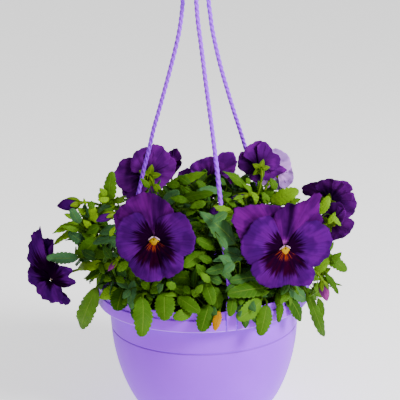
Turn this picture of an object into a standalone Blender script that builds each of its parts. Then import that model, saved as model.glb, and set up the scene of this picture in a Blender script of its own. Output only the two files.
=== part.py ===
"""A pansy in full bloom in a lilac plastic hanging pot.

The pot's underside is centred on the origin, +Z is up, and the plant is looked at along +Y.
Every size is a real one, in metres. Flowers, leaves and hanger legs are placed where the eye meets
them from the front, so their places are written as a sight line (SIGHT below) and a distance ahead
of the pot's axis or a radius from it.
"""

import math
import random

import bmesh
import bpy
import numpy as np
from mathutils import Matrix, Vector
from mathutils.bvhtree import BVHTree

MM = 0.001
GAP = 0.3 * MM

# Pot, measured on its outside
RIM_RADIUS = 106 * MM
RIM_TOP = 136 * MM
SKIRT_BOTTOM = 116.8 * MM
STEP_HEIGHT = 129 * MM
STEP_IN = 1.6 * MM
WALL = 1.6 * MM
NECK_RADIUS = 95 * MM
GROOVE_HEIGHT = 89.5 * MM
GROOVE_RADIUS = 93.6 * MM
GROOVE_DEPTH = 0.5 * MM
BASE_RADIUS = 59.8 * MM
BOWL_FALL = 1.68
BOWL_ROUNDNESS = 1.55
BOWL_STEPS = 5
LEDGE_TOP = 128.5 * MM
LEDGE_BOTTOM = 126.5 * MM
FLOOR = 2.4 * MM
TURNED_SIDES = 32
SOIL_SIDES = 24
HUB_SIDES = 16
DRAIN_HOLES = 6
DRAIN_RADIUS = 4 * MM
DRAIN_CIRCLE = 36 * MM

# Soil
SOIL_EDGE = 121 * MM
SOIL_CROWN = 130 * MM
SOIL_SHOULDER = 128.5 * MM
SOIL_BANK = 124 * MM
SOIL_LEVEL_RADIUS = 40 * MM
SOIL_BANK_RADIUS = 78 * MM
STEM_HOLE_DEPTH = 9 * MM
STEM_HOLE_SIDES = 4

# Hanger
CLIP_TURNS = (13.8, 133.8, -106.2)
CLIP_WIDTH = 10.6 * MM
CLIP_THICK = 2.1 * MM
CLIP_TOP = 147 * MM
CLIP_BOTTOM = 117.1 * MM
BARB_REACH = 97.5 * MM
BARB_BOTTOM = 122.4 * MM
LEG_RADIUS = 2.1 * MM
HUB_RADIUS = 19 * MM
HUB_BOTTOM = 415.5 * MM
HUB_THICK = 5 * MM
NECK_TOP = 436 * MM
HOOK_CENTRE = 455 * MM
HOOK_RADIUS = 13 * MM
HOOK_THICK = 3.2 * MM

# How the plant is looked at: tilt and roll of the view, its distance, its aim and its scale
SIGHT_TILT = math.radians(16.02)
SIGHT_ROLL = math.radians(-1.48)
SIGHT_DISTANCE = 1300 * MM
SIGHT_AIM = Vector((-1.15 * MM, 0, 215 * MM))
SIGHT_SCALE = 1320.4
SIGHT_CENTRE = 200

# Foliage and flowers
STEM_RADIUS = 1.7 * MM
STALK_RADIUS = 1.25 * MM
STALK_SIDES = 4
PETIOLE_RADIUS = 1.1 * MM
PETIOLE_SLANT = 1.4
BLADE_HALF = 0.65 * MM
PETAL_HALF = 0.42 * MM
THROAT_BACK = 7.6
THROAT_FRONT = 3
THROAT_SIDES = 4
LEAF_ARCH = 0.10
LEAF_CUP = 0.16
SEPAL_LENGTH = 15 * MM
SEPAL_WIDTH = 6 * MM
SEPAL_FLARE = -0.06
CALYX_CORE = 1.3 * MM
BUD_STATIONS = (0, 0.12, 0.4, 0.72, 1)
BUD_WIDTHS = (0.3, 0.7, 1, 0.8, 0.14)
BUD_SEAT = 1 * MM
BUD_SEPAL = 9 * MM
BUD_FLARE = 0.42
CLEAR = 0.45 * MM
MOUND_CENTRE = Vector((4 * MM, 0, 112 * MM))
MOUND_RADII = Vector((132 * MM, 126 * MM, 122 * MM))
STRAY = 0.2 * MM
SIGHT_STRAY = 0.9 * MM
ROOT_SPACING = 3.4 * MM
ROOT_SHARE = 0.16
STEM_RINGS = 5
ROOT_PLACES = 26
LEAF_TRIES = 70
FILLER_LEAVES = 24
FILLER_TRIES = 4000
SEED = 11

# The hanger's legs, from the hub down: across and down on the sight, and mm ahead of the axis
LEG_SIGHTS = (
    (
        (196.3, 2, 14), (197.9, 22, 17), (200.3, 40, 21), (203.2, 63, 29), (206.5, 89, 38),
        (210.3, 117, 50), (214.2, 147, 62), (217.6, 175, 73), (221.5, 212, 84), (225.4, 262, 94),
    ),
    (
        (208.7, 3, -8), (210.3, 15, -9), (212.2, 29, -11), (216.6, 50, -14), (221.6, 70, -18),
        (228.0, 92, -24), (233.8, 111, -29), (240.3, 131, -37), (248.5, 158, -47), (262, 205, -61),
    ),
    (
        (182.7, 2, -5), (181.1, 19, -6), (178.3, 36, -7), (173.5, 56.5, -9), (166.8, 82, -13),
        (159.1, 110, -18), (153.4, 130, -21), (149.1, 149, -24), (143.6, 170, -27), (136, 200, -30),
    ),
)

# A pansy's five petals, back to front: turn clockwise from the top, length, half angle, lean, level
OPEN_FACE = (
    (-50, 41, 62, -9, -3.6),
    (14, 41, 64, -6, -2.2),
    (-86, 36, 64, -1, -0.6),
    (84, 37, 62, -1, 0.6),
    (180, 38, 76, 3, 1.9),
)

# Each flower: its eye on the sight, mm ahead, the way it faces (turn right, tilt up, roll), size, petals
BLOOMS = {
    "front_left": (154.5, 239, 100, (-12, 6, 0), 1.0, (
        (-3.8, 2, (
            (124, 240, -3), (115.5, 228, -3), (113.6, 218, -3), (116.5, 210.5, -3), (125, 204, -3),
            (138, 201, -3), (152, 206, -3))),
        (-2.2, 2, (
            (118, 218, -2), (119.4, 210.5, -2), (124.4, 203.6, -2), (130.6, 197.4, -2), (140, 193.3, -3),
            (146, 192.3, -3), (153.8, 193.6, -3), (163.8, 199.3, -2), (170, 205.5, -1), (174, 212.4, 0),
            (173, 222, 0))),
        (-0.6, 2, (
            (149, 223, 0), (143.8, 216.4, 1), (137, 213, 2), (127.5, 215.5, 3), (121.3, 220.5, 3),
            (117.5, 226.8, 3), (115.4, 237, 3), (116.3, 247.4, 3), (119.4, 254.3, 3), (124.4, 259, 3),
            (130, 262.4, 2), (139, 259, 1))),
        (0.6, 2, (
            (156, 221, 0), (161, 216.5, 1), (168.8, 214, 2), (177.5, 212.1, 3), (183.1, 214.3, 3),
            (188.1, 219.3, 4), (191.3, 226.1, 4), (195.3, 235.5, 3), (195, 244.3, 3), (192.6, 251, 3),
            (188.1, 254.9, 2), (181, 257, 1))),
        (1.9, 2, (
            (133, 256, 1), (129.2, 262, 2), (129.6, 267.6, 3), (133.8, 273.6, 4), (140, 278.6, 4),
            (150.6, 281.8, 5), (160, 280.5, 5), (163.5, 277.6, 2), (168, 278.2, 4), (175.6, 274.9, 4),
            (181.3, 270.5, 3), (184, 263, 2), (183, 254, 1))))),
    "front_right": (284.5, 248, 92, (16, 4, 0), 1.0, (
        (-4.2, 2, (
            (246, 254, -3), (240.6, 242, -3), (236.8, 231.5, -2), (232.3, 222, 0), (234.3, 210.5, -1),
            (240.6, 206.9, -4), (254.7, 204.5, -3), (266.6, 204.5, -5), (284.1, 206.6, -3))),
        (-2.2, 3, (
            (272, 219, -1), (277.5, 210.8, 2), (289, 203.2, -2), (297, 204, 5), (308, 198, 6),
            (316.6, 192.6, 9), (321.7, 195.9, 8), (319, 209, 0), (322.7, 221.7, -3), (319, 232, -1))),
        (-0.6, 2, (
            (277, 226, 0), (270, 216, 2), (259.6, 217.9, 3), (252.6, 221.7, 3), (248.5, 229, 3),
            (243, 238, 2), (240.6, 248, 3), (243.4, 257, 3), (250.5, 264.5, 2), (259, 262, 1))),
        (0.6, 2, (
            (294, 231, 0), (301, 223, 1), (309, 221, 3), (316.4, 220.3, 3), (326.2, 225.9, 4),
            (331.5, 234.3, 3), (331.2, 245, 3), (328.6, 256, 3), (321.3, 263.1, 3), (312.2, 267, 2),
            (305, 262, 1))),
        (1.9, 2, (
            (256, 259, 1), (250.8, 265.2, 2), (252.2, 274.3, 4), (258.9, 282.7, 4), (266.6, 287.3, 5),
            (279.2, 287.3, 5), (285, 285.3, 2), (298.2, 285.9, 5), (306.6, 285.5, 5), (314.6, 279, 4),
            (313.6, 268, 2), (307, 260, 1))))),
    "left_side": (52, 279, 22, (-50, -6, 0), 1.0, (
        (-3.8, 8, (
            (30, 268, 2), (28.6, 258, 3), (29.4, 242, 4), (32, 233, 5), (36, 230.9, 5), (40.4, 225.9, 6))),
        (-2.6, 0, (
            (38.6, 262, -1), (39.4, 246, -2), (41.2, 237.4, -4), (47.3, 238.7, -5), (53.3, 239.3, -6),
            (49.2, 247, -3), (46.4, 258, -2))),
        (-0.5, 3, (
            (31, 252, 3), (27.4, 255, 4), (27.1, 260, 4), (30.6, 265, 2), (28, 272, 4), (27.5, 278, 4),
            (29.5, 284, 4), (36, 287, 2))),
        (0.7, 4, (
            (46, 257.5, 2), (50.5, 261.4, 4), (59.4, 264.6, 5), (69.1, 267.5, 7), (71.6, 271.6, 7),
            (69.6, 277, 6), (76.6, 280, 5), (73.7, 284.4, 5), (68, 287.2, 5), (60, 287.4, 3))),
        (2.1, 3, (
            (36.5, 282, 2), (34.7, 288.5, 3), (39.2, 295.3, 5), (47.9, 301, 6), (51.4, 303.2, 6),
            (58.4, 302, 5), (63.6, 296.4, 4), (61.5, 287, 3))))),
    "back_left": (147, 174, -46, (196, 0, 0), 0.84, (
        (-2.2, 2, (
            (131, 172, -2), (130.6, 161, -2), (133, 156.4, -1), (134.2, 153, 0), (137, 150, 0),
            (142.7, 147.9, 1), (150, 147.4, 0), (154.6, 153, -2))),
        (-3.6, 2, (
            (146, 154, -3), (151.9, 145.3, -2), (154.9, 143.9, -1), (163.6, 147.2, 1), (164.8, 149.4, 0),
            (168.7, 152.8, 1), (170, 157, 1), (168.6, 165, -1))),
        (-0.6, 3, (
            (161, 160, -1), (167, 156, 1), (174.3, 158.6, 3), (176, 166.6, 4), (174.3, 174.7, 4),
            (170.8, 179.8, 5), (164.1, 187, 4), (158.6, 190.6, 3))),
        (0.6, 3, (
            (135, 161, 0), (131, 157.4, 0), (123.3, 158.9, 3), (118.7, 163, 4), (116, 169.6, 4),
            (114.6, 174, 4), (115.7, 182, 4), (120.4, 188.6, 5), (128, 192.5, 4), (135, 189, 2))),
        (1.9, 3, (
            (121.6, 187, 4), (122.3, 194.7, 6), (127.4, 198.7, 7), (137, 199.5, 8), (148, 197, 8),
            (158, 196, 7), (163, 191, 4))))),
    "back_left_crumpled": (172, 163, -78, (20, 10, 0), 0.62, (
        (-2.2, 1, ((166, 158, 0), (169, 151.5, 1), (172.4, 150, 0), (173.2, 148.2, 2), (176, 149, 1))),
        (-3.6, 1, ((173, 149, 1), (177, 148.4, 3), (180.4, 153.2, 1), (181.8, 158.6, 3), (180, 160.6, 0))),
        (-0.6, 1, ((179.6, 159, 0), (182, 162.6, 2), (180.6, 167, 1), (177.6, 170.6, 2), (174.4, 171.8, 0))),
        (0.6, 1, ((168, 159, 0), (165, 162, 2), (165, 167, 2), (168, 171, 1))),
        (1.9, 1, ((167, 170, 0), (170, 174, 2), (174, 175, 2), (177, 171, 1))))),
    "back_centre": (209, 177, -58, (172, 26, 0), 0.80, (
        (-3.6, 2, (
            (194, 176, -2), (189.3, 167.4, 0), (196.4, 161, 1), (204, 157.5, 2), (209.4, 156.2, 1),
            (214.6, 157.6, 0), (219, 164, -2))),
        (-2.2, 2, (
            (213, 165, -2), (217.6, 156, 0), (220.8, 153.3, 1), (225.8, 151.6, 2), (230.8, 152.3, 2),
            (235.4, 155.6, 2), (237, 161.5, 2), (235.4, 170.1, 2), (232.5, 175.5, 0), (224, 180, -1))),
        (-0.6, 3, (
            (192, 171, 1), (186.4, 168.4, 3), (179.5, 171.5, 4), (177.6, 176.6, 5), (180.6, 183, 5),
            (191, 188, 3))),
        (0.6, 3, ((232, 172, 1), (236, 179, 4), (234.6, 185.4, 5), (224, 189, 4), (214, 188, 2))),
        (1.9, 3, ((195, 184, 2), (195, 194, 6), (206, 199, 8), (216, 197, 7), (222, 188, 3))))),
    "back_right": (258, 166, -12, (196, 6, 0), 0.68, (
        (-2.2, 2, (
            (243, 156, -1), (246.9, 146.6, 0), (252.2, 143.2, 1), (257.6, 140.6, 2), (262.4, 141, 1),
            (267, 147, -1))),
        (-3.6, 2, (
            (257, 146, -3), (262, 141.4, -1), (267.5, 143.3, 1), (271.3, 147.9, 2), (273, 152.6, 0),
            (277.6, 154.1, 1), (280, 158.7, 3), (280, 165, 1), (274, 171, -1))),
        (-0.6, 3, (
            (270, 161, 0), (277, 163.6, 3), (286.6, 169.3, 6), (283.6, 172, 5), (274.4, 177.8, 4),
            (266.8, 181, 4), (261, 178, 2))),
        (0.6, 3, (
            (248, 151, 1), (241.5, 151.8, 2), (238, 157, 4), (237.8, 163, 4), (238.4, 168.7, 5),
            (243.6, 171.8, 4), (247, 174.4, 4), (253, 174, 2))),
        (1.9, 3, ((249, 171, 1), (249.6, 178.6, 4), (254, 181.6, 6), (261, 182, 6), (266, 176, 3))))),
    "back_right_pale": (276, 168, -42, (166, 4, 0), 0.60, (
        (-2.2, 2, (
            (264, 164, -1), (266, 154, 0), (272.9, 148.7, 1), (277, 148.8, 1), (281.3, 150.2, 2),
            (286.6, 154.1, 2), (290.5, 159.4, 2), (291.3, 166, 1), (287, 173, -1))),
        (-3.6, 2, ((259, 172, -2), (258, 162, -1), (263, 154, 0), (270, 151, 0))),
        (-0.6, 3, ((258, 168, 0), (257, 176, 2), (261, 184, 3), (268, 186, 2))),
        (0.6, 3, (
            (284, 160, 0), (290, 162.6, 2), (292.8, 170.9, 4), (293.9, 176.3, 5), (292, 183.3, 5),
            (287, 187.6, 4), (280, 188, 2))),
        (1.9, 3, ((262, 178, 2), (264, 187, 5), (273, 190, 6), (282, 189, 6), (286, 182, 3))))),
    "right_upper": (331, 198, -26, (150, 18, 0), 0.78, (
        (-3.6, 2, (
            (314, 187, -2), (318.7, 181.3, 0), (325.6, 179.1, 1), (332.9, 178.6, 2), (340.3, 180.4, 2),
            (345, 184, 0))),
        (-2.2, 2, (
            (333, 181, -1), (340.3, 180.4, 1), (345.3, 181.4, 2), (350.6, 184.6, 3), (352.7, 189.5, 3),
            (350.8, 192.2, 1), (353.6, 195, 2), (352, 201, 0))),
        (-0.6, 3, (
            (346, 191, 1), (353, 193.8, 3), (356.8, 203.7, 5), (355, 211.5, 5), (349.6, 217.6, 4),
            (343.8, 216.3, 3), (338, 210, 1))),
        (0.6, 3, (
            (322, 206, 1), (311, 196.4, 3), (304.9, 195.2, 4), (301.8, 192.8, 5), (301.8, 187.6, 5),
            (306.3, 184.2, 4), (311.8, 182.1, 3), (319, 182, 1))),
        (1.9, 3, ((342, 209, 2), (340, 216, 5), (331, 219, 6), (323, 214, 5), (320, 206, 2))))),
    "right_lower": (333, 222, 2, (138, -4, 0), 0.62, (
        (-3.6, 2, (
            (323, 219, -1), (323.4, 212, 0), (325, 207.6, 1), (330.2, 203.2, 2), (337.5, 201.9, 2),
            (342.1, 204.2, 2), (345, 209, 0))),
        (-2.2, 2, ((338, 206, -1), (343, 208.6, 1), (345.6, 213, 2), (344.4, 218.4, 1), (342, 224, 0))),
        (-0.6, 3, (
            (341, 214, 1), (346, 216.6, 3), (352.2, 219.8, 4), (354.2, 223.9, 5), (351.7, 229.9, 4),
            (348.5, 234.5, 4), (342, 236, 2))),
        (0.6, 3, ((325, 213, 1), (320, 217, 4), (318, 224, 5), (320, 231, 4), (326, 234, 2))),
        (1.9, 3, (
            (347, 230, 2), (346, 235.6, 4), (341.6, 238.3, 5), (332, 240.4, 6), (325, 237, 5),
            (323, 230, 2))))),
    "behind": (176, 221, -112, (184, 10, 8), 0.84, OPEN_FACE),
}

# Where each flower stalk stands in the soil, in mm, in the order of BLOOMS
BLOOM_ROOTS = (
    (-30, -34), (34, -30), (-64, -8), (-38, 30), (-14, 56), (-2, 20), (40, 6), (46, 34), (58, -8),
    (72, 24), (-6, 66),
)

# Each bud: its tip and its foot on the sight, mm ahead of both, thickness, where its stalk stands
BUDS = {
    "left_opening": ((57, 206), (79, 203), 6, 13, (-58, 18)),
    "left_slim": ((96, 221), (113, 214), 40, 8.5, (-46, -20)),
    "centre_dark": ((209, 216), (221, 206), 52, 9, (12, -20)),
    "centre_slim": ((229, 200), (247, 195), 24, 6.5, (22, 4)),
    "right_drooping": ((327, 301), (322, 282), 60, 10, (70, -34)),
    "left_small": ((108, 271), (116, 261), 84, 5, (-60, -40)),
}

# Leafy stems: turn from the front, radius in the soil, radius and height of the top, in mm
STEMS = (
    (-6, 60, 92, 150), (22, 70, 96, 152), (50, 68, 104, 158), (78, 54, 112, 182), (112, 70, 108, 176),
    (143, 66, 100, 170), (172, 70, 102, 164), (-158, 62, 100, 170), (-130, 70, 104, 176),
    (-98, 66, 108, 186), (-66, 70, 106, 168), (-34, 68, 96, 152), (14, 24, 34, 214),
    (96, 28, 52, 222), (-176, 30, 44, 212), (-92, 30, 50, 216), (-30, 44, 62, 192), (48, 42, 66, 196),
)

# Leaves in view: foot, tip (across and down on the sight, mm from the axis; minus is the far side),
# width in mm, and how far its face is turned from the mound's to the eye
LEAVES = (
    ((97, 288, 113), (81, 328, 118), 18, 0.9),
    ((123, 288, 103), (117, 311, 118), 19, 0.8),
    ((119, 289, 98), (99, 299, 112), 13, 0.7),
    ((134, 280, 104), (134, 309, 118), 10, 0.7),
    ((145, 294, 103), (148, 334, 120), 19, 0.6),
    ((165, 292, 99), (165, 321, 116), 19, 0.7),
    ((178, 297, 100), (200, 312, 112), 13, 0.6),
    ((192, 312, 104), (173, 318, 114), 11, 0.6),
    ((209, 305, 104), (201, 332, 116), 16, 0.6),
    ((206, 283, 102), (213, 305, 113), 12, 0.7),
    ((214, 287, 97), (218, 309, 104), 13, 0.5),
    ((217, 311, 105), (212, 331, 113), 8, 0.7),
    ((235, 294, 108), (231, 315, 116), 10, 0.8),
    ((267, 305, 109), (260, 336, 118), 15, 0.7),
    ((262, 302, 101), (239, 318, 114), 18, 0.7),
    ((279, 298, 100), (281, 322, 112), 8, 0.7),
    ((285, 293, 102), (301, 322, 117), 14, 0.6),
    ((285, 287, 106), (306, 300, 112), 13, 0.6),
    ((306, 294, 114), (323, 337, 121), 11, 0.8),
    ((266, 288, 104), (227, 294, 116), 15, 0.4),
    ((262, 277, 98), (229, 281, 108), 13, 0.5),
    ((240, 265, 103), (208, 267, 111), 10, 0.5),
    ((232, 272, 109), (209, 275, 112), 10, 0.6),
    ((240, 257, 96), (212, 261, 106), 9, 0.5),
    ((243, 258, 90), (225, 250, 98), 13, 0.8),
    ((200, 282, 90), (172, 277, 97), 15, 0.6),
    ((204, 252, 92), (183, 267, 104), 12, 0.6),
    ((191, 289, 97), (185, 301, 104), 9, 0.7),
    ((115, 267, 104), (78, 268, 118), 11, 0.5),
    ((78, 256, 112), (46, 255, 126), 12, 0.8),
    ((91, 247, 104), (68, 232, 116), 12, 0.8),
    ((76, 231, 104), (53, 246, 120), 9, 0.6),
    ((80, 222, 92), (52, 234, 114), 9, 0.6),
    ((118, 239, 96), (93, 243, 110), 9, 0.5),
    ((97, 239, 104), (76, 260, 116), 18, 0.8),
    ((109, 205, 78), (112, 171, 86), 13, 0.8),
    ((113, 209, 80), (98, 195, 92), 12, 0.7),
    ((83, 225, 84), (77, 209, 92), 10, 0.7),
    ((95, 222, 88), (90, 203, 98), 9, 0.7),
    ((165, 191, 40), (208, 172, 34), 13, 0.6),
    ((184, 195, 30), (203, 183, 36), 12, 0.5),
    ((164, 203, 56), (179, 191, 60), 12, 0.9),
    ((176, 203, 54), (214, 193, 62), 11, 0.4),
    ((235, 245, 84), (198, 212, 96), 20, 0.7),
    ((214, 248, 88), (196, 239, 98), 10, 0.7),
    ((224, 192, 44), (199, 189, 52), 9, 0.5),
    ((248, 192, 22), (222, 171, 36), 12, 0.6),
    ((262, 203, 44), (276, 183, 52), 9, 0.7),
    ((270, 202, 58), (299, 190, 70), 15, 0.9),
    ((320, 214, 80), (329, 196, 90), 10, 0.9),
    ((324, 255, 104), (347, 271, 118), 13, 0.7),
    ((313, 275, 106), (329, 258, 116), 10, 0.8),
    ((240, 217, 60), (213, 228, 72), 10, 0.6),
    ((121, 228, 92), (100, 233, 104), 11, 0.5),
)

PALE_BLOOMS = ("back_right_pale",)
FADED_BUDS = ("right_drooping", "left_small")

LILAC = (0.36, 0.24, 0.72)
SOIL_BROWN = (0.022, 0.014, 0.009)
LEAF_GREEN = (0.12, 0.27, 0.02)
STALK_GREEN = (0.22, 0.36, 0.03)
VIOLET = (0.09, 0.0, 0.27)
PALE_LILAC = (0.55, 0.33, 0.82)
FADED = (0.22, 0.05, 0.24)


def clear_scene():
    for obj in list(bpy.data.objects):
        bpy.data.objects.remove(obj, do_unlink=True)


def material(name, colour, roughness):
    made = bpy.data.materials.new(name)
    made.use_nodes = True
    shader = made.node_tree.nodes["Principled BSDF"]
    shader.inputs["Base Color"].default_value = (*colour, 1)
    shader.inputs["Roughness"].default_value = roughness
    return made


def placed(name, mesh, finish):
    """A new object that shows a mesh in one material."""
    obj = bpy.data.objects.new(name, mesh)
    bpy.context.scene.collection.objects.link(obj)
    mesh.materials.clear()
    mesh.materials.append(finish)
    return obj


def mesh_of(points, faces):
    mesh = bpy.data.meshes.new("shape")
    mesh.from_pydata([tuple(p) for p in points], [], [tuple(f) for f in faces])
    return mesh


def evaluated(obj):
    """The object's mesh with its modifiers applied."""
    graph = bpy.context.evaluated_depsgraph_get()
    return bpy.data.meshes.new_from_object(obj.evaluated_get(graph))


def boolean(obj, operation, cutter=None, collection=None, solver="EXACT"):
    cut = obj.modifiers.new("Boolean", "BOOLEAN")
    cut.operation = operation
    cut.solver = solver
    if collection:
        cut.operand_type = "COLLECTION"
        cut.collection = collection
    else:
        cut.object = cutter


def fused(name, pieces, finish, solver="EXACT"):
    """One object made of closed meshes that run into each other, joined by one Boolean union."""
    first = placed(name, pieces[0], finish)
    group = bpy.data.collections.new("pieces")
    bpy.context.scene.collection.children.link(group)
    for piece in pieces[1:]:
        group.objects.link(bpy.data.objects.new("piece", piece))
    boolean(first, "UNION", collection=group, solver=solver)
    joined = evaluated(first)
    first.modifiers.clear()
    first.data = joined
    for piece in list(group.objects):
        bpy.data.objects.remove(piece, do_unlink=True)
    bpy.data.collections.remove(group)
    keep_largest(joined)
    return first


def keep_largest(mesh):
    """Drops every island but the largest: the walls of a hollow that fusing sealed, and loose scraps."""
    made = bmesh.new()
    made.from_mesh(mesh)
    waiting = set(made.verts)
    islands = []
    while waiting:
        island = {waiting.pop()}
        edge = list(island)
        while edge:
            near = {e.other_vert(v) for v in edge for e in v.link_edges} - island
            island |= near
            edge = list(near)
        waiting -= island
        islands.append(island)
    islands.sort(key=len)
    for island in islands[:-1]:
        bmesh.ops.delete(made, geom=list(island), context="VERTS")
    made.to_mesh(mesh)
    made.free()


def smooth(obj, degrees=35):
    obj.data.shade_smooth()
    obj.data.set_sharp_from_angle(angle=math.radians(degrees))


def turned(name, profile, finish, sides=TURNED_SIDES):
    """A body turned about Z. The profile runs from the axis over the top and down the outside."""
    edges = [(i, i + 1) for i in range(len(profile) - 1)]
    mesh = bpy.data.meshes.new(name)
    mesh.from_pydata([(r, 0, z) for r, z in profile], edges, [])
    obj = placed(name, mesh, finish)
    screw = obj.modifiers.new("Screw", "SCREW")
    screw.steps = sides
    screw.render_steps = sides
    screw.use_merge_vertices = True
    screw.merge_threshold = 0.00001
    return obj


def around(turn, radius, height):
    """A point at a turn from the front, clockwise as seen from above being minus."""
    angle = math.radians(turn)
    return Vector((radius * math.sin(angle), -radius * math.cos(angle), height))


def sight_frame():
    """The eye's place, and the view's directions forward, right and up."""
    forward = Vector((0, math.cos(SIGHT_TILT), -math.sin(SIGHT_TILT)))
    level_up = Vector((0, math.sin(SIGHT_TILT), math.cos(SIGHT_TILT)))
    right = Vector((math.cos(SIGHT_ROLL), 0, 0)) + level_up * math.sin(SIGHT_ROLL)
    up = level_up * math.cos(SIGHT_ROLL) - Vector((math.sin(SIGHT_ROLL), 0, 0))
    return SIGHT_AIM - forward * SIGHT_DISTANCE, forward, right, up


def sight_line(across, down):
    eye, forward, right, up = sight_frame()
    line = forward + right * ((across - SIGHT_CENTRE) / SIGHT_SCALE)
    return eye, line - up * ((down - SIGHT_CENTRE) / SIGHT_SCALE)


def seen(across, down, ahead):
    """The point on a sight line that lies a distance in mm in front of the pot's axis."""
    eye, line = sight_line(across, down)
    return eye + line * ((-ahead * MM - eye.y) / line.y)


def seen_at_radius(across, down, radius):
    """The point on a sight line at a radius in mm, near side, or far side if the radius is minus.

    Where the line passes the axis further out than that, it is the point nearest the axis.
    """
    eye, line = sight_line(across, down)
    a = line.x**2 + line.y**2
    b = eye.x * line.x + eye.y * line.y
    c = eye.x**2 + eye.y**2 - (radius * MM) ** 2
    inside = max(b * b - a * c, 0)
    return eye + line * ((-b - math.copysign(math.sqrt(inside), radius)) / a)


def curve_points(anchors, count):
    """Points evenly spread over a Bezier curve through two ends with two handles."""
    p0, p1, p2, p3 = anchors
    found = []
    for i in range(count):
        t = i / (count - 1)
        s = 1 - t
        found.append(p0 * s**3 + p1 * (3 * s * s * t) + p2 * (3 * s * t * t) + p3 * t**3)
    return found


def through(points, count):
    """A smooth curve through points (Catmull-Rom), read at an even spacing of the parameter."""
    ends = [points[0] * 2 - points[1], *points, points[-1] * 2 - points[-2]]
    found = []
    for i in range(count):
        at = i / (count - 1) * (len(points) - 1)
        k = min(int(at), len(points) - 2)
        t = at - k
        a, b, c, d = ends[k : k + 4]
        found.append(
            (b * 2 + (c - a) * t + (a * 2 - b * 5 + c * 4 - d) * t**2 + (b * 3 - a - c * 3 + d) * t**3)
            * 0.5
        )
    return found


def rings(path, radii, sides, lead=None):
    """The corners of a ring at each point of a path, carried along it without twist."""
    side = Vector(lead) if lead else Vector((0.31, 0.17, 0.93))
    found = []
    for i, point in enumerate(path):
        along = (path[min(i + 1, len(path) - 1)] - path[max(i - 1, 0)]).normalized()
        side = (side - along * side.dot(along)).normalized()
        other = along.cross(side)
        for k in range(sides):
            angle = 2 * math.pi * k / sides
            found.append(point + (side * math.cos(angle) + other * math.sin(angle)) * radii[i])
    return found


def tube_mesh(path, radii, sides):
    """A closed tube: rings joined by quads, with a flat cap at each end."""
    if not isinstance(radii, (list, tuple)):
        radii = [radii] * len(path)
    faces = [tuple(range(sides))[::-1]]
    for i in range(len(path) - 1):
        for k in range(sides):
            a, b = i * sides + k, i * sides + (k + 1) % sides
            faces.append((a, b, b + sides, a + sides))
    last = (len(path) - 1) * sides
    faces.append(tuple(range(last, last + sides)))
    return mesh_of(rings(path, radii, sides), faces)


def bowl_radius(share):
    """The bowl's outer radius at a share of the way down from the groove to the base."""
    swell = (1 - share**BOWL_FALL) ** (1 / BOWL_ROUNDNESS)
    return BASE_RADIUS + (GROOVE_RADIUS - BASE_RADIUS) * swell


def bowl_curve(steps, inset, floor):
    """The bowl's side from the groove down to a floor, set in from its outside, closer near the base."""
    shares = [math.sin(math.pi / 2 * i / steps) for i in range(steps + 1)]
    points = [(bowl_radius(share) - inset, GROOVE_HEIGHT * (1 - share)) for share in shares]
    return [(r, z) for r, z in points if z > floor]


def make_pot(finish):
    """The thin-walled bowl, its rolled rim with a skirt outside, drain holes and three clip slots."""
    collar = RIM_RADIUS - STEP_IN
    profile = [
        (0, FLOOR), (BASE_RADIUS - WALL, FLOOR), *bowl_curve(BOWL_STEPS, WALL, 2 * FLOOR)[::-1],
        (NECK_RADIUS - WALL, SKIRT_BOTTOM), (NECK_RADIUS, LEDGE_TOP), (collar - WALL, LEDGE_TOP),
        (collar - WALL, RIM_TOP), (collar, RIM_TOP - 0.4 * MM), (collar, STEP_HEIGHT),
        (RIM_RADIUS, STEP_HEIGHT - 0.6 * MM), (RIM_RADIUS, SKIRT_BOTTOM),
        (RIM_RADIUS - WALL, SKIRT_BOTTOM), (RIM_RADIUS - WALL, LEDGE_BOTTOM),
        (NECK_RADIUS + WALL, LEDGE_BOTTOM), (NECK_RADIUS, SKIRT_BOTTOM),
        (GROOVE_RADIUS - GROOVE_DEPTH, GROOVE_HEIGHT + 1.2 * MM), *bowl_curve(BOWL_STEPS, 0, -1), (0, 0),
    ]
    pot = turned("pot", profile, finish)
    for k in range(DRAIN_HOLES):
        bpy.ops.mesh.primitive_cylinder_add(vertices=8, radius=DRAIN_RADIUS, depth=4 * FLOOR)
        hole = bpy.context.object
        hole.name = f"drain_hole_{k + 1}"
        hole.location = around(360 / DRAIN_HOLES * (k + 0.5), DRAIN_CIRCLE, FLOOR / 2)
        as_cutter(hole)
        boolean(pot, "DIFFERENCE", hole)
    for k, turn in enumerate(CLIP_TURNS):
        inner = RIM_RADIUS - CLIP_THICK - GAP
        slot = wall_block(
            turn, inner, RIM_RADIUS + 4 * MM, CLIP_WIDTH + 2 * GAP, SKIRT_BOTTOM - 4 * MM, RIM_TOP + 4 * MM)
        cutter = placed(f"clip_slot_{k + 1}", slot, finish)
        as_cutter(cutter)
        boolean(pot, "DIFFERENCE", cutter)
    return pot


def as_cutter(obj):
    obj.hide_render = True
    obj.display_type = "WIRE"


def wall_block(turn, inner, outer, width, bottom, top):
    """A block that stands across the rim at a turn: flat sides, ends along the rim's tangent."""
    made = bmesh.new()
    bmesh.ops.create_cube(made, size=1)
    out = around(turn, 1, 0)
    across = Vector((0, 0, 1)).cross(out)
    for corner in made.verts:
        x, y, z = corner.co
        radius = inner if y < 0 else outer
        height = bottom if z < 0 else top
        corner.co = out * radius + across * (x * width) + Vector((0, 0, height))
    made.normal_update()
    bmesh.ops.recalc_face_normals(made, faces=made.faces)
    mesh = bpy.data.meshes.new("block")
    made.to_mesh(mesh)
    made.free()
    return mesh


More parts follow.
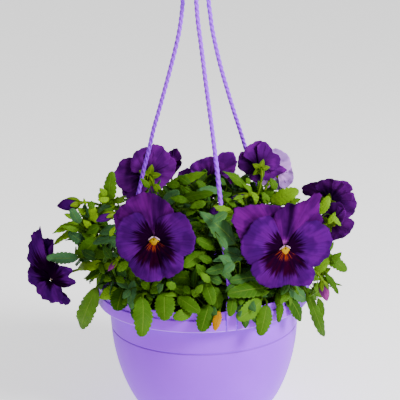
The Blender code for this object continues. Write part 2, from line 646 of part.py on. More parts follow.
def make_soil(finish):
    """The soil fills the pot and stands a little proud in the middle."""
    inset = WALL + 3 * GAP
    return turned("soil", [
        (0, SOIL_CROWN), (SOIL_LEVEL_RADIUS, SOIL_SHOULDER), (SOIL_BANK_RADIUS, SOIL_BANK),
        (NECK_RADIUS - inset, SOIL_EDGE), (NECK_RADIUS - inset, SKIRT_BOTTOM),
        *bowl_curve(BOWL_STEPS, inset, 3 * FLOOR), (BASE_RADIUS - 2.4 * WALL, FLOOR + GAP), (0, FLOOR + GAP),
    ], finish, SOIL_SIDES)


def cut_stem_holes(soil, holes):
    """A plain hole in the soil for each stem, given by its place and the stem's radius."""
    group = bpy.data.collections.new("stem_holes")
    bpy.context.scene.collection.children.link(group)
    group.hide_render = True
    for place, radius in holes:
        wide = (radius + GAP) / math.cos(math.pi / STEM_HOLE_SIDES)
        top = soil_height(place)
        path = [Vector((place.x, place.y, top + h)) for h in (-STEM_HOLE_DEPTH, 8 * MM)]
        hole = bpy.data.objects.new("stem_hole", tube_mesh(path, wide, STEM_HOLE_SIDES))
        group.objects.link(hole)
        as_cutter(hole)
    boolean(soil, "DIFFERENCE", collection=group)


def soil_height(foot):
    """The height of the soil at a place: level round the crown, then falling to the edge."""
    radius = math.hypot(foot.x, foot.y)
    return np.interp(
        radius, (0, SOIL_LEVEL_RADIUS, SOIL_BANK_RADIUS, NECK_RADIUS),
        (SOIL_CROWN, SOIL_SHOULDER, SOIL_BANK, SOIL_EDGE))


def leg_path(sights, turn):
    """A leg's centre line: straight up into the hub, down its sighted points and into its clip."""
    points = [seen(*sight) for sight in sights]
    top = points[0].copy()
    top.z = HUB_BOTTOM + HUB_THICK / 2
    middle = RIM_RADIUS - CLIP_THICK / 2
    foot = around(turn, middle, CLIP_TOP - 3 * MM)
    near = points[-1].lerp(around(turn, middle, CLIP_TOP + 3 * MM), 0.55)
    return [top, *points, near, foot]


def make_hanger(finish):
    """One moulding: a hook on a hub, three legs that flare into the hub, and a barbed clip on each."""
    pieces = []
    hub = turned("hub", [
        (0, NECK_TOP), (3.4 * MM, NECK_TOP), (4.2 * MM, HUB_BOTTOM + HUB_THICK + 6 * MM),
        (8 * MM, HUB_BOTTOM + HUB_THICK + 0.8 * MM), (HUB_RADIUS - 1.5 * MM, HUB_BOTTOM + HUB_THICK),
        (HUB_RADIUS, HUB_BOTTOM + HUB_THICK / 2), (HUB_RADIUS - 1.5 * MM, HUB_BOTTOM), (0, HUB_BOTTOM),
    ], finish, HUB_SIDES)
    pieces.append(evaluated(hub))
    bpy.data.objects.remove(hub, do_unlink=True)
    pieces.append(tube_mesh(hook_path(), HOOK_THICK, 7))
    for sights, turn in zip(LEG_SIGHTS, CLIP_TURNS):
        path = through(leg_path(sights, turn), 20)
        radii = [max(LEG_RADIUS, LEG_RADIUS * (1 + 1.9 * flare(point.z))) for point in path]
        pieces.append(tube_mesh(path, radii, 6))
        pieces.append(clip_plate(turn))
        pieces.append(wall_block(
            turn, BARB_REACH, RIM_RADIUS - CLIP_THICK / 2, CLIP_WIDTH - 2 * MM,
            BARB_BOTTOM, LEDGE_BOTTOM - GAP))
    hanger = fused("hanger", pieces, finish)
    smooth(hanger)
    return hanger


def flare(height):
    """How far a leg has widened: none 12 mm below the hub, all at the hub."""
    return max(0, 1 - (HUB_BOTTOM + 1 * MM - height) / (12 * MM)) ** 2


def hook_path():
    """The neck's centre line, then three quarters of a circle that ends in an open tip."""
    path = [Vector((0, 0, NECK_TOP - 4 * MM)), Vector((0, 0, HOOK_CENTRE - HOOK_RADIUS - 1 * MM))]
    for i in range(12):
        angle = math.radians(-78 + (205 + 78) * i / 11)
        offset = Vector((math.cos(angle), 0, math.sin(angle))) * HOOK_RADIUS
        path.append(Vector((0, 0, HOOK_CENTRE)) + offset)
    return path


def clip_plate(turn):
    """The flat tab of one clip, with shoulders that run up into its leg."""
    half = CLIP_WIDTH / 2
    outline = [
        (-half, CLIP_BOTTOM), (half, CLIP_BOTTOM), (half, CLIP_TOP - 5 * MM), (half * 0.75, CLIP_TOP - 1 * MM),
        (half * 0.3, CLIP_TOP + 2 * MM), (-half * 0.3, CLIP_TOP + 2 * MM), (-half * 0.75, CLIP_TOP - 1 * MM),
        (-half, CLIP_TOP - 5 * MM),
    ]
    out = around(turn, 1, 0)
    across = Vector((0, 0, 1)).cross(out)
    made = bmesh.new()
    corners = [made.verts.new(out * RIM_RADIUS + across * x + Vector((0, 0, z))) for x, z in outline]
    face = made.faces.new(corners)
    pushed = bmesh.ops.extrude_face_region(made, geom=[face])
    moved = [item for item in pushed["geom"] if isinstance(item, bmesh.types.BMVert)]
    bmesh.ops.translate(made, verts=moved, vec=-out * CLIP_THICK)
    bmesh.ops.recalc_face_normals(made, faces=made.faces)
    mesh = bpy.data.meshes.new("clip")
    made.to_mesh(mesh)
    made.free()
    return mesh


def facing(turn, tilt, roll):
    """A flower's own axes as columns: right, up and the way it faces. Turn 0 faces the viewer."""
    look = around(turn, 1, 0) * math.cos(math.radians(tilt)) + Vector((0, 0, math.sin(math.radians(tilt))))
    right = Vector((0, 0, 1)).cross(look).normalized()
    up = look.cross(right)
    spin = Matrix.Rotation(math.radians(-roll), 3, look)
    return Matrix((spin @ right, spin @ up, look)).transposed()


def petal_reach(share):
    """How far a petal reaches at a share of its half angle: round at the end, narrow at the foot."""
    return math.sqrt(max(0.0, 1 - abs(share) ** 3.2))


def fan_point(petal, size, share, out):
    """A point of a plain petal's middle surface, at a share of its half angle and of its reach there."""
    turn, length, half_angle, lean, level = petal
    length = length * size * MM
    reach = petal_reach(share) * length * out
    angle = math.radians(half_angle * share)
    x, y = reach * math.sin(angle), reach * math.cos(angle)
    rise = y * math.tan(math.radians(lean)) + level * size * MM
    rise += length * 0.045 * out**3 * math.sin(share * 7.5 + turn)
    turn = math.radians(turn)
    return Vector((x * math.cos(turn) + y * math.sin(turn), y * math.cos(turn) - x * math.sin(turn), rise))


def rim_spot(eye, axes, across, down, lift):
    """Where a sight line meets the flower's plane raised by lift in mm, in the flower's own axes."""
    start, line = sight_line(across, down)
    look = axes.col[2]
    place = start + line * ((lift * MM - (start - eye).dot(look)) / line.dot(look))
    return axes.transposed() @ (place - eye)


def petal_rim(eye, axes, sights):
    """A bent petal's rim through its sighted points, clockwise from its front."""
    rim = through([rim_spot(eye, axes, *sight) for sight in sights], RIM_STEPS)
    turning = sum(a.x * b.y - b.x * a.y for a, b in zip(rim, rim[1:]))
    return rim[::-1] if turning > 0 else rim


def petal_points_by(petal, size, eye, axes):
    """The function that gives a petal's middle surface at a share of its rim and of the way out to it."""
    if len(petal) == 5:
        return lambda share, out: fan_point(petal, size, share, out)
    level, bulge, sights = petal
    level, bulge = level * size * MM, bulge * size * MM
    rim = petal_rim(eye, axes, sights)

    def bent_point(share, out):
        far = rim[round((share + 1) / 2 * (len(rim) - 1))]
        rise = level + (far.z - level) * out**1.5 + bulge * math.sin(math.pi * out) * 0.6
        return Vector((far.x * out, far.y * out, rise))

    return bent_point


RIM_STEPS = 101
PETAL_EDGE = (-0.98, -0.84, -0.58, -0.3, 0, 0.3, 0.58, 0.84, 0.98)
PETAL_RING = (-0.7, -0.24, 0.24, 0.7)


def petal_mesh(point, thick):
    """A lens-shaped blade: its edge is shared by both faces, which are split into triangles alike."""
    edge = [point(share, 1) for share in PETAL_EDGE]
    ring = [point(share, 0.66) for share in PETAL_RING]
    ring.append(point(0, 0.17))
    foot = point(0, 0)
    lift = Vector((0, 0, thick))
    points = [foot, *edge, *[p + lift for p in ring], *[p - lift for p in ring]]
    count = len(edge)
    outer = list(range(1, count + 1))
    faces = []
    for side in (0, 1):
        inner = [count + 1 + side * len(ring) + k for k in range(len(ring))]
        neck = inner.pop()
        split = [(0, outer[0], neck), (outer[0], inner[0], neck), (outer[-1], 0, neck), (inner[-1], outer[-1], neck)]
        for k in range(len(inner) - 1):
            a, b, c = outer[2 * k + 1 : 2 * k + 4]
            split += [(a, b, inner[k]), (b, inner[k + 1], inner[k]), (b, c, inner[k + 1])]
            split.append((inner[k], inner[k + 1], neck))
        split += [(outer[0], outer[1], inner[0]), (outer[-2], outer[-1], inner[-1])]
        faces += split if side == 1 else [f[::-1] for f in split]
    return points, faces


def bloom_axes(name):
    across, down, ahead, face, size, petals = BLOOMS[name]
    return seen(across, down, ahead), facing(*face), size, petals


def bloom_pieces(name, thick):
    """The five petals and the short throat that joins them, in place."""
    eye, axes, size, petals = bloom_axes(name)
    pieces = []
    for petal in petals:
        points, faces = petal_mesh(petal_points_by(petal, size, eye, axes), thick)
        pieces.append(mesh_of([eye + axes @ p for p in points], faces))
    throat = [eye + axes @ Vector((0, 0, z * size * MM)) for z in (-THROAT_BACK, THROAT_FRONT)]
    pieces.append(tube_mesh(throat, [3 * size * MM, 3.8 * size * MM], THROAT_SIDES))
    return pieces


def calyx_mesh(centre, axes, count, length, width, flare, core):
    """A star of pointed sepals in one closed lens. Axes are right, up and forward; flare leans it forward.

    Each sepal has two shoulders, a tip and a raised middle on both faces, and meets the next in a notch.
    """
    right, up, forward = axes

    def spot(angle, radius, aside, lift):
        out = right * math.cos(angle) + up * math.sin(angle)
        tangent = up * math.cos(angle) - right * math.sin(angle)
        return centre + out * radius + tangent * aside + forward * (radius * flare + lift)

    points = [spot(0, 0, 0, core), spot(0, 0, 0, -core)]
    faces = []
    step = 2 * math.pi / count
    for k in range(count):
        angle = k * step + 0.6
        points += [
            spot(angle + step / 2, length * 0.16, 0, 0), spot(angle, length * 0.45, width / 2, 0),
            spot(angle, length, 0, 0), spot(angle, length * 0.45, -width / 2, 0),
            spot(angle, length * 0.42, 0, core * 0.55), spot(angle, length * 0.42, 0, -core * 0.55),
        ]
        notch, left, tip, other, front, rear = range(2 + 6 * k, 8 + 6 * k)
        before = 2 + 6 * ((k - 1) % count)
        for middle, heart in ((front, 0), (rear, 1)):
            split = [
                (heart, before, middle), (before, other, middle), (other, tip, middle),
                (tip, left, middle), (left, notch, middle), (notch, heart, middle),
            ]
            faces += split if heart == 0 else [f[::-1] for f in split]
    mesh = mesh_of(points, faces)
    turn_outward(mesh)
    return mesh


def turn_outward(mesh):
    made = bmesh.new()
    made.from_mesh(mesh)
    made.normal_update()
    bmesh.ops.recalc_face_normals(made, faces=made.faces)
    made.to_mesh(mesh)
    made.free()


def stalk_path(root, top, back, count=5):
    """A stalk rises from the soil, then bends over to meet its flower from behind."""
    foot, ground = rooted(Vector((root[0] * MM, root[1] * MM, 0)))
    span = (top - ground).length
    handles = (ground, ground + Vector((0, 0, span * 0.5)), top + back * min(span * 0.35, 26 * MM), top)
    return [foot, *curve_points(handles, count)]


def rooted(place):
    """Where a stem stands on the bottom of its hole, and where it leaves the soil, straight above."""
    height = soil_height(place)
    low, high = height - STEM_HOLE_DEPTH + GAP, height + 1 * MM
    return Vector((place.x, place.y, low)), Vector((place.x, place.y, high))


def make_bloom(name, root, petal_finish, green_finish):
    """The petals in one node, and the stalk with its star of sepals in another."""
    eye, axes, size, petals = bloom_axes(name)
    flare = SEPAL_FLARE + min(math.tan(math.radians(petal[3])) if len(petal) == 5 else 0 for petal in petals)
    petals = fused(f"petals_{name}", bloom_pieces(name, PETAL_HALF), petal_finish, "MANIFOLD")
    right, up, look = axes.col
    centre = eye - look * (THROAT_BACK * size * MM + GAP + CALYX_CORE)
    star = calyx_mesh(
        centre, (right, up, look), 5, SEPAL_LENGTH * size, SEPAL_WIDTH * size, flare, CALYX_CORE)
    stalk = tube_mesh(stalk_path(root, centre, -look), STALK_RADIUS, STALK_SIDES)
    return petals, fused(f"stalk_{name}", [star, stalk], green_finish)


def make_bud(name, spec, petal_finish, green_finish):
    """A rolled bud, pointed at its end, with four sepals held along it on a bent stalk."""
    tip_sight, foot_sight, ahead, thick, root = spec
    tip, foot = seen(*tip_sight, ahead), seen(*foot_sight, ahead)
    look = (tip - foot).normalized()
    length = (tip - foot).length
    path = [foot + look * length * s for s in BUD_STATIONS]
    radii = [thick * MM / 2 * w for w in BUD_WIDTHS]
    body = placed(f"bud_{name}", tube_mesh(path, radii, 6), petal_finish)
    right = look.cross(Vector((0.2, 0.1, 1))).normalized()
    up = look.cross(right)
    centre = foot - look * (BUD_SEAT + CALYX_CORE)
    star = calyx_mesh(centre, (right, up, look), 4, BUD_SEPAL, BUD_SEPAL / 2, BUD_FLARE, CALYX_CORE)
    stalk = tube_mesh(stalk_path(root, centre, -look), STALK_RADIUS, STALK_SIDES)
    return body, fused(f"stalk_bud_{name}", [star, stalk], green_finish)


def stem_path(stem, count):
    """A leafy stem's centre line, upright in the soil and leaning out at the top."""
    turn, root_radius, top_radius, height = stem
    foot, ground = rooted(around(turn, root_radius * MM, 0))
    top = around(turn, top_radius * MM, height * MM)
    rise = top.z - ground.z
    handles = (
        ground, ground + Vector((0, 0, rise * 0.5)), top.lerp(ground, 0.3) + Vector((0, 0, rise * 0.12)), top)
    return [foot, *curve_points(handles, count)]


BLADE_EDGE = (0.09, 0.25, 0.38, 0.53, 0.68, 0.85)
BLADE_TEETH = (0.96, 1.07, 0.92, 1.08, 0.9, 1.1)
BLADE_MIDS = (0.3, 0.56, 0.8)


def blade_half_width(share):
    """An oval blade's half width, widest a little below the middle, as a share of its widest."""
    return math.sin(math.pi * share**0.86) ** 0.72


def blade_point(leaf, share, aside):
    """A point of a blade's middle surface: a share of its length, and of its half width to one side."""
    _, _, foot, tip, width, normal = leaf
    chord = tip - foot
    across = chord.normalized().cross(normal)
    half = width / 2 * blade_half_width(share) * aside
    arch = normal * chord.length * LEAF_ARCH * 4 * share * (1 - share)
    return foot + chord * share + arch + across * half - normal * (abs(half) * LEAF_CUP)


def petiole_path(leaf, count):
    """A petiole leaves its stem at a slant and meets the blade in line with the midrib."""
    root, lead, foot, tip, _, normal = leaf
    span = foot - root
    aside = (span - lead * span.dot(lead)).normalized()
    start = (lead + aside * PETIOLE_SLANT).normalized()
    end = (tip - foot).normalized() + normal * LEAF_ARCH * 4
    handles = (root, root + start * span.length * 0.4, foot - end * span.length * 0.35, foot)
    return curve_points(handles, count)


def leaf_points(leaf, thick):
    """A leaf's corners: three petiole rings, its toothed edges, its midrib on both faces and its tip."""
    tip, normal = leaf[3], leaf[5]
    path = petiole_path(leaf, 3)
    radius = PETIOLE_RADIUS + thick - BLADE_HALF
    points = []
    for i, point in enumerate(path):
        way = (path[min(i + 1, 2)] - path[max(i - 1, 0)]).normalized()
        up = (normal - way * normal.dot(way)).normalized()
        right = way.cross(up)
        points += [point - right * radius, point + up * radius, point + right * radius, point - up * radius]
    for side in (-1, 1):
        points += [blade_point(leaf, s, side * teeth) for s, teeth in zip(BLADE_EDGE, BLADE_TEETH)]
    for lift in (thick, -thick):
        points += [blade_point(leaf, s, 0) + normal * lift for s in BLADE_MIDS]
    points.append(tip)
    return points


def leaf_faces():
    """A leaf's faces: the petiole's quads, then each half of each face between its edge and midrib."""
    faces = [(3, 2, 1, 0)]
    for i in range(2):
        for k in range(4):
            a, b = 4 * i + k, 4 * i + (k + 1) % 4
            faces.append((a, b, b + 4, a + 4))
    tip = 30
    for side in (0, 1):
        edge = [8 + 2 * side, *range(12 + 6 * side, 18 + 6 * side)]
        for face in (0, 1):
            m0 = 9 + 2 * face
            m1, m2, m3 = range(24 + 3 * face, 27 + 3 * face)
            split = [
                (edge[0], edge[1], m0), (edge[1], m1, m0), (edge[1], edge[2], m1), (edge[2], edge[3], m1),
                (edge[3], m2, m1), (edge[3], edge[4], m2), (edge[4], m3, m2), (edge[4], edge[5], m3),
                (edge[5], edge[6], m3), (edge[6], tip, m3),
            ]
            faces += split if (side + face) % 2 else [f[::-1] for f in split]
    return faces


def leaf_mesh(leaf, thick=BLADE_HALF):
    mesh = mesh_of(leaf_points(leaf, thick), leaf_faces())
    turn_outward(mesh)
    return mesh


def tree_of(mesh):
    return BVHTree.FromPolygons([v.co for v in mesh.vertices], [tuple(p.vertices) for p in mesh.polygons])


class Crowd:
    """Everything that already stands in the basket, with the node that each piece belongs to."""

    def __init__(self):
        self.members = []

    def add(self, owner, mesh):
        self.members.append((owner, tree_of(mesh), *mesh_bounds(mesh)))

    def clashes(self, mesh, but=None):
        """Whether a mesh crosses anything here, leaving one owner out."""
        low, high = mesh_bounds(mesh)
        tree = tree_of(mesh)
        for owner, other, other_low, other_high in self.members:
            apart = any(low[k] > other_high[k] or high[k] < other_low[k] for k in range(3))
            if owner != but and not apart and tree.overlap(other):
                return True
        return False


def mesh_bounds(mesh):
    points = np.array([v.co for v in mesh.vertices])
    return points.min(axis=0), points.max(axis=0)


class LeafyStem:
    """One stem: its centre line, the closed meshes that will be fused, and the roots that are taken."""

    def __init__(self, number, spec):
        self.name = f"leafy_stem_{number:02d}"
        path = stem_path(spec, STEM_RINGS)
        radii = [STEM_RADIUS * (1 - 0.07 * i) for i in range(len(path))]
        self.pieces = [tube_mesh(path, radii, STALK_SIDES)]
        self.roots = stem_path(spec, ROOT_PLACES)[ROOT_PLACES // 5 :]
        self.taken = []

    def free_roots(self):
        for i, root in enumerate(self.roots[:-1]):
            if all((root - other).length > ROOT_SPACING for other in self.taken):
                lead = root - self.roots[i - 1] if i else self.roots[1] - root
                yield root, lead.normalized()


def out_of_mound(point):
    """The direction out of the leafy mound at a point, leaning upward."""
    away = point - MOUND_CENTRE
    scaled = Vector([away[k] / MOUND_RADII[k] ** 2 for k in range(3)])
    return (scaled.normalized() + Vector((0, 0, 0.35))).normalized()


def leaf_on_stem(foot, tip, width, show, turn, stems):
    """A leaf set on the free root nearest to its foot. Show turns its face from the mound's to the eye."""
    best = None
    for stem in stems:
        for root, lead in stem.free_roots():
            cost = (root - foot).length + max(0, root.z - foot.z)
            if best is None or cost < best[0]:
                best = (cost, stem, root, lead)
    _, stem, root, lead = best
    along = (tip - foot).normalized()
    to_eye = -sight_frame()[1]
    look = out_of_mound((foot + tip) / 2).lerp(to_eye, show)
    normal = (look - along * look.dot(along)).normalized()
    normal = Matrix.Rotation(math.radians(turn), 3, along) @ normal
    return stem, (root, lead, foot, tip, width, normal)


def clear_of_stem(leaf):
    """The same leaf with its petiole cut short of its stem, for the test against its own stem."""
    root, lead, foot, tip, width, normal = leaf
    return (root.lerp(foot, ROOT_SHARE), lead, foot, tip, width, normal)


def settle_leaf(crowd, stems, chance, wish, tries):
    """Tries a leaf where it is wished, then ever farther from it, most of all along the sight line, until it
    crosses nothing else."""
    foot, tip, width, show, turn = wish
    to_eye = -sight_frame()[1]
    for attempt in range(tries):
        reach, depth = STRAY * attempt, SIGHT_STRAY * attempt
        shift = Vector([chance.uniform(-reach, reach) for _ in range(3)]) + to_eye * chance.uniform(-depth, depth)
        swing = Vector([chance.uniform(-reach, reach) for _ in range(3)]) + to_eye * chance.uniform(-depth, depth)
        lean = turn + chance.uniform(-2, 2) * attempt
        stem, leaf = leaf_on_stem(foot + shift, tip + shift + swing, width, show, lean, stems)
        probe = leaf_mesh(clear_of_stem(leaf), BLADE_HALF + CLEAR)
        if crowd.clashes(probe) or crowd.clashes(leaf_mesh(leaf), but=stem.name):
            continue
        crowd.add("leaf", leaf_mesh(leaf))
        stem.taken.append(leaf[0])
        stem.pieces.append(leaf_mesh(leaf))
        return True
    return False


def filler_leaf(chance):
    """A leaf drawn at random on the far side of the mound: foot, tip, width, show and turn."""
    turn = chance.gauss(180, 52)
    climb = math.asin(chance.uniform(0, 0.97))
    out = around(turn, math.cos(climb), math.sin(climb))
    foot = MOUND_CENTRE + Vector([out[k] * MOUND_RADII[k] for k in range(3)]) * chance.uniform(0.68, 0.95)
    aside = Vector([chance.gauss(0, 1) for _ in range(3)])
    aside = (aside - out * aside.dot(out)).normalized()
    length = chance.uniform(33, 47) * MM
    tip = foot + (out * chance.uniform(0.2, 0.8) + aside).normalized() * length
    return foot, tip, length * chance.uniform(0.56, 0.72), 0, chance.uniform(-25, 25)


def make_foliage(crowd, finish):
    """The leafy stems: leaves in view where they are seen, then others wherever the mound is bare."""
    stems = [LeafyStem(number + 1, spec) for number, spec in enumerate(STEMS)]
    for stem in stems:
        crowd.add(stem.name, stem.pieces[0])
    for number, (foot, tip, width, show) in enumerate(LEAVES):
        wish = (seen_at_radius(*foot), seen_at_radius(*tip), width * MM, show, 0)
        settle_leaf(crowd, stems, random.Random(SEED + number), wish, LEAF_TRIES)
    left = FILLER_LEAVES
    number = len(LEAVES)
    while left and number < FILLER_TRIES:
        chance = random.Random(SEED + number)
        left -= settle_leaf(crowd, stems, chance, filler_leaf(chance), 1)
        number += 1
    for stem in stems:
        fused(stem.name, stem.pieces, finish, solver="MANIFOLD")


def main():
    clear_scene()
    lilac = material("lilac plastic", LILAC, 0.35)
    earth = material("soil", SOIL_BROWN, 0.95)
    green = material("leaf", LEAF_GREEN, 0.5)
    stalk_green = material("stalk", STALK_GREEN, 0.5)
    violet = material("violet petal", VIOLET, 0.6)
    pale = material("pale petal", PALE_LILAC, 0.6)
    faded = material("faded petal", FADED, 0.6)
    crowd = Crowd()
    crowd.add("pot", evaluated(make_pot(lilac)))
    crowd.add("hanger", make_hanger(lilac).data)
    feet = []
    for name, root in zip(BLOOMS, BLOOM_ROOTS):
        pair = make_bloom(name, root, pale if name in PALE_BLOOMS else violet, stalk_green)
        feet.append((root, STALK_RADIUS))
        for piece in pair:
            crowd.add(piece.name, piece.data)
    for name, spec in BUDS.items():
        pair = make_bud(name, spec, faded if name in FADED_BUDS else violet, stalk_green)
        feet.append((spec[4], STALK_RADIUS))
        for piece in pair:
            crowd.add(piece.name, piece.data)
    soil = make_soil(earth)
    crowd.add("soil", evaluated(soil))
    make_foliage(crowd, green)
    holes = [(Vector((x * MM, y * MM, 0)), radius) for (x, y), radius in feet]
    holes += [(around(stem[0], stem[1] * MM, 0), STEM_RADIUS) for stem in STEMS]
    cut_stem_holes(soil, holes)


main()
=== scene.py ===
"""The looks of a pansy in bloom in a lilac hanging pot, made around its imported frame.

Everything is in metres, +Z up, seen along +Y. Flowers, leaves and legs stand where the frame's own
solids have them, so their places are written again here as a sight line and a distance from the axis.
"""

import math
import random

import bpy
import numpy as np
from mathutils import Matrix, Vector
from mathutils.bvhtree import BVHTree


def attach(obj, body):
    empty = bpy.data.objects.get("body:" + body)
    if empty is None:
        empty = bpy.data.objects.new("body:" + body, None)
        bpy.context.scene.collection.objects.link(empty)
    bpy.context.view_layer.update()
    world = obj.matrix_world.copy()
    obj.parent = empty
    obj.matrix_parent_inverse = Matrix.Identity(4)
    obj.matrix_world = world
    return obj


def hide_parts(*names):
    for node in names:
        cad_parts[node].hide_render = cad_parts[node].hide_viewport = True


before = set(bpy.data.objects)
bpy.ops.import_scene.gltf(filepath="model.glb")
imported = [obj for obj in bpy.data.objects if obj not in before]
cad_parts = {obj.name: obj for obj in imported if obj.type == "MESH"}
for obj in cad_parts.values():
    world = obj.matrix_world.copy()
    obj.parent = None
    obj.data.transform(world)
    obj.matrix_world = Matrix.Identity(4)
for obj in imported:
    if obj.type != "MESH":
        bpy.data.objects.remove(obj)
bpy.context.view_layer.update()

MM = 0.001

# Pot and soil, as in the frame
RIM_RADIUS = 106 * MM
RIM_TOP = 136 * MM
SKIRT_BOTTOM = 116.8 * MM
STEP_HEIGHT = 129 * MM
STEP_IN = 1.6 * MM
WALL = 1.6 * MM
NECK_RADIUS = 95 * MM
GROOVE_HEIGHT = 89.5 * MM
GROOVE_RADIUS = 93.6 * MM
GROOVE_DEPTH = 0.5 * MM
BASE_RADIUS = 59.8 * MM
BOWL_FALL = 1.68
BOWL_ROUNDNESS = 1.55
LEDGE_TOP = 128.5 * MM
LEDGE_BOTTOM = 126.5 * MM
FLOOR = 2.4 * MM
DRAIN_HOLES = 6
DRAIN_RADIUS = 4 * MM
DRAIN_CIRCLE = 36 * MM
SOIL_PROFILE = ((0, 130), (40, 128.5), (78, 124), (92.2, 121))
SOIL_WAVES = 60
SOIL_LUMP = 1.1 * MM
CRUMBS = 260
CRUMB_SIZES = (0.8 * MM, 2.6 * MM)
STEM_HOLE_DEPTH = 9 * MM
GAP = 0.3 * MM

# Hanger, as in the frame
CLIP_TURNS = (13.8, 133.8, -106.2)
CLIP_WIDTH = 10.6 * MM
CLIP_THICK = 2.1 * MM
CLIP_PLAY = 0.6 * MM
CLIP_SQUARE = 0.22
CLIP_TOP = 147 * MM
CLIP_BOTTOM = 117.1 * MM
BARB_REACH = 97.5 * MM
BARB_BOTTOM = 122.4 * MM
LEG_RADIUS = 2.1 * MM
HUB_RADIUS = 19 * MM
HUB_BOTTOM = 415.5 * MM
HUB_THICK = 5 * MM
NECK_TOP = 436 * MM
HOOK_CENTRE = 455 * MM
HOOK_RADIUS = 13 * MM
HOOK_THICK = 3.2 * MM
HOOK_TURNS = (-78, 205)
TWIST_PITCH = 18 * MM
TWIST_STRANDS = 3
TWIST_OFFSET = 0.5
TWIST_STRAND = 0.57

# The view: tilt, roll, distance, aim and scale in pixels of the 400 pixel frame
SIGHT_TILT = math.radians(16.02)
SIGHT_ROLL = math.radians(-1.48)
SIGHT_DISTANCE = 1300 * MM
SIGHT_AIM = Vector((-1.15 * MM, 0, 215 * MM))
SIGHT_SCALE = 1320.4
SIGHT_CENTRE = 200
FRAME_WIDTH = 400
SENSOR = 36
SURROUND = 0.35
FLOOR_GLOW = 1.1
FLOOR_RADIUS = 9
FLOOR_PALE = (0.93, 0.93, 0.93)
FLOOR_PALER = (0.95, 0.95, 0.95)
KEY_POWER = 75
KEY_SIZE = 0.7
KEY_PLACE = Vector((1.3, -1.0, 1.3))
KEY_TARGET = Vector((0, 0, 0.2))

# Foliage and flowers, as in the frame
STEM_RADIUS = 1.7 * MM
STALK_RADIUS = 1.25 * MM
PETIOLE_RADIUS = 1.1 * MM
PETIOLE_SLANT = 1.4
SMALL_PETIOLE = 0.45 * MM
PETIOLE_RINGS = 8
TOOTH_DEPTH = 0.22
YOUNG_TRIES = 84
LEAF_ARCH = 0.10
LEAF_CUP = 0.16
LEAF_THICK = 0.28 * MM
LEAF_MARGIN = 0.05 * MM
LEAF_SWELL = 0.35 * MM
LEAF_RIB = 0.45 * MM
PETAL_HALF = 0.35 * MM
PETAL_POINTS = 64
PETAL_STATIONS = 20
THROAT_BACK = 7.6
SEPAL_LENGTH = 15 * MM
SEPAL_WIDTH = 8.1 * MM
SEPAL_FLARE = -0.06
SEPALS = 5
SEPAL_TURN = 0.6
EAR_LENGTH = 4.6 * MM
EAR_WIDTH = 3.4 * MM
EAR_LEAN = -1.1
CALYX_CORE = 1.3 * MM
BUD_STATIONS = (0, 0.12, 0.4, 0.72, 1)
BUD_WIDTHS = (0.3, 0.7, 1, 0.8, 0.14)
BUD_SEAT = 1 * MM
MOUND_CENTRE = Vector((4 * MM, 0, 112 * MM))
MOUND_RADII = Vector((132 * MM, 126 * MM, 122 * MM))
STRAY = 0.2 * MM
SIGHT_STRAY = 0.9 * MM
ROOT_SPACING = 3.4 * MM
ROOT_PLACES = 26
LEAF_TRIES = 70
FILLER_LEAVES = 24
FILLER_TRIES = 4000
SEED = 11
SAME_PLACE = 0.05 * MM
SAME_CORNER = 0.02 * MM

LEG_SIGHTS = (
    (
        (196.3, 2, 14), (197.9, 22, 17), (200.3, 40, 21), (203.2, 63, 29), (206.5, 89, 38),
        (210.3, 117, 50), (214.2, 147, 62), (217.6, 175, 73), (221.5, 212, 84), (225.4, 262, 94),
    ),
    (
        (208.7, 3, -8), (210.3, 15, -9), (212.2, 29, -11), (216.6, 50, -14), (221.6, 70, -18),
        (228.0, 92, -24), (233.8, 111, -29), (240.3, 131, -37), (248.5, 158, -47), (262, 205, -61),
    ),
    (
        (182.7, 2, -5), (181.1, 19, -6), (178.3, 36, -7), (173.5, 56.5, -9), (166.8, 82, -13),
        (159.1, 110, -18), (153.4, 130, -21), (149.1, 149, -24), (143.6, 170, -27), (136, 200, -30),
    ),
)

OPEN_FACE = (
    (-50, 41, 62, -9, -3.6),
    (14, 41, 64, -6, -2.2),
    (-86, 36, 64, -1, -0.6),
    (84, 37, 62, -1, 0.6),
    (180, 38, 76, 3, 1.9),
)

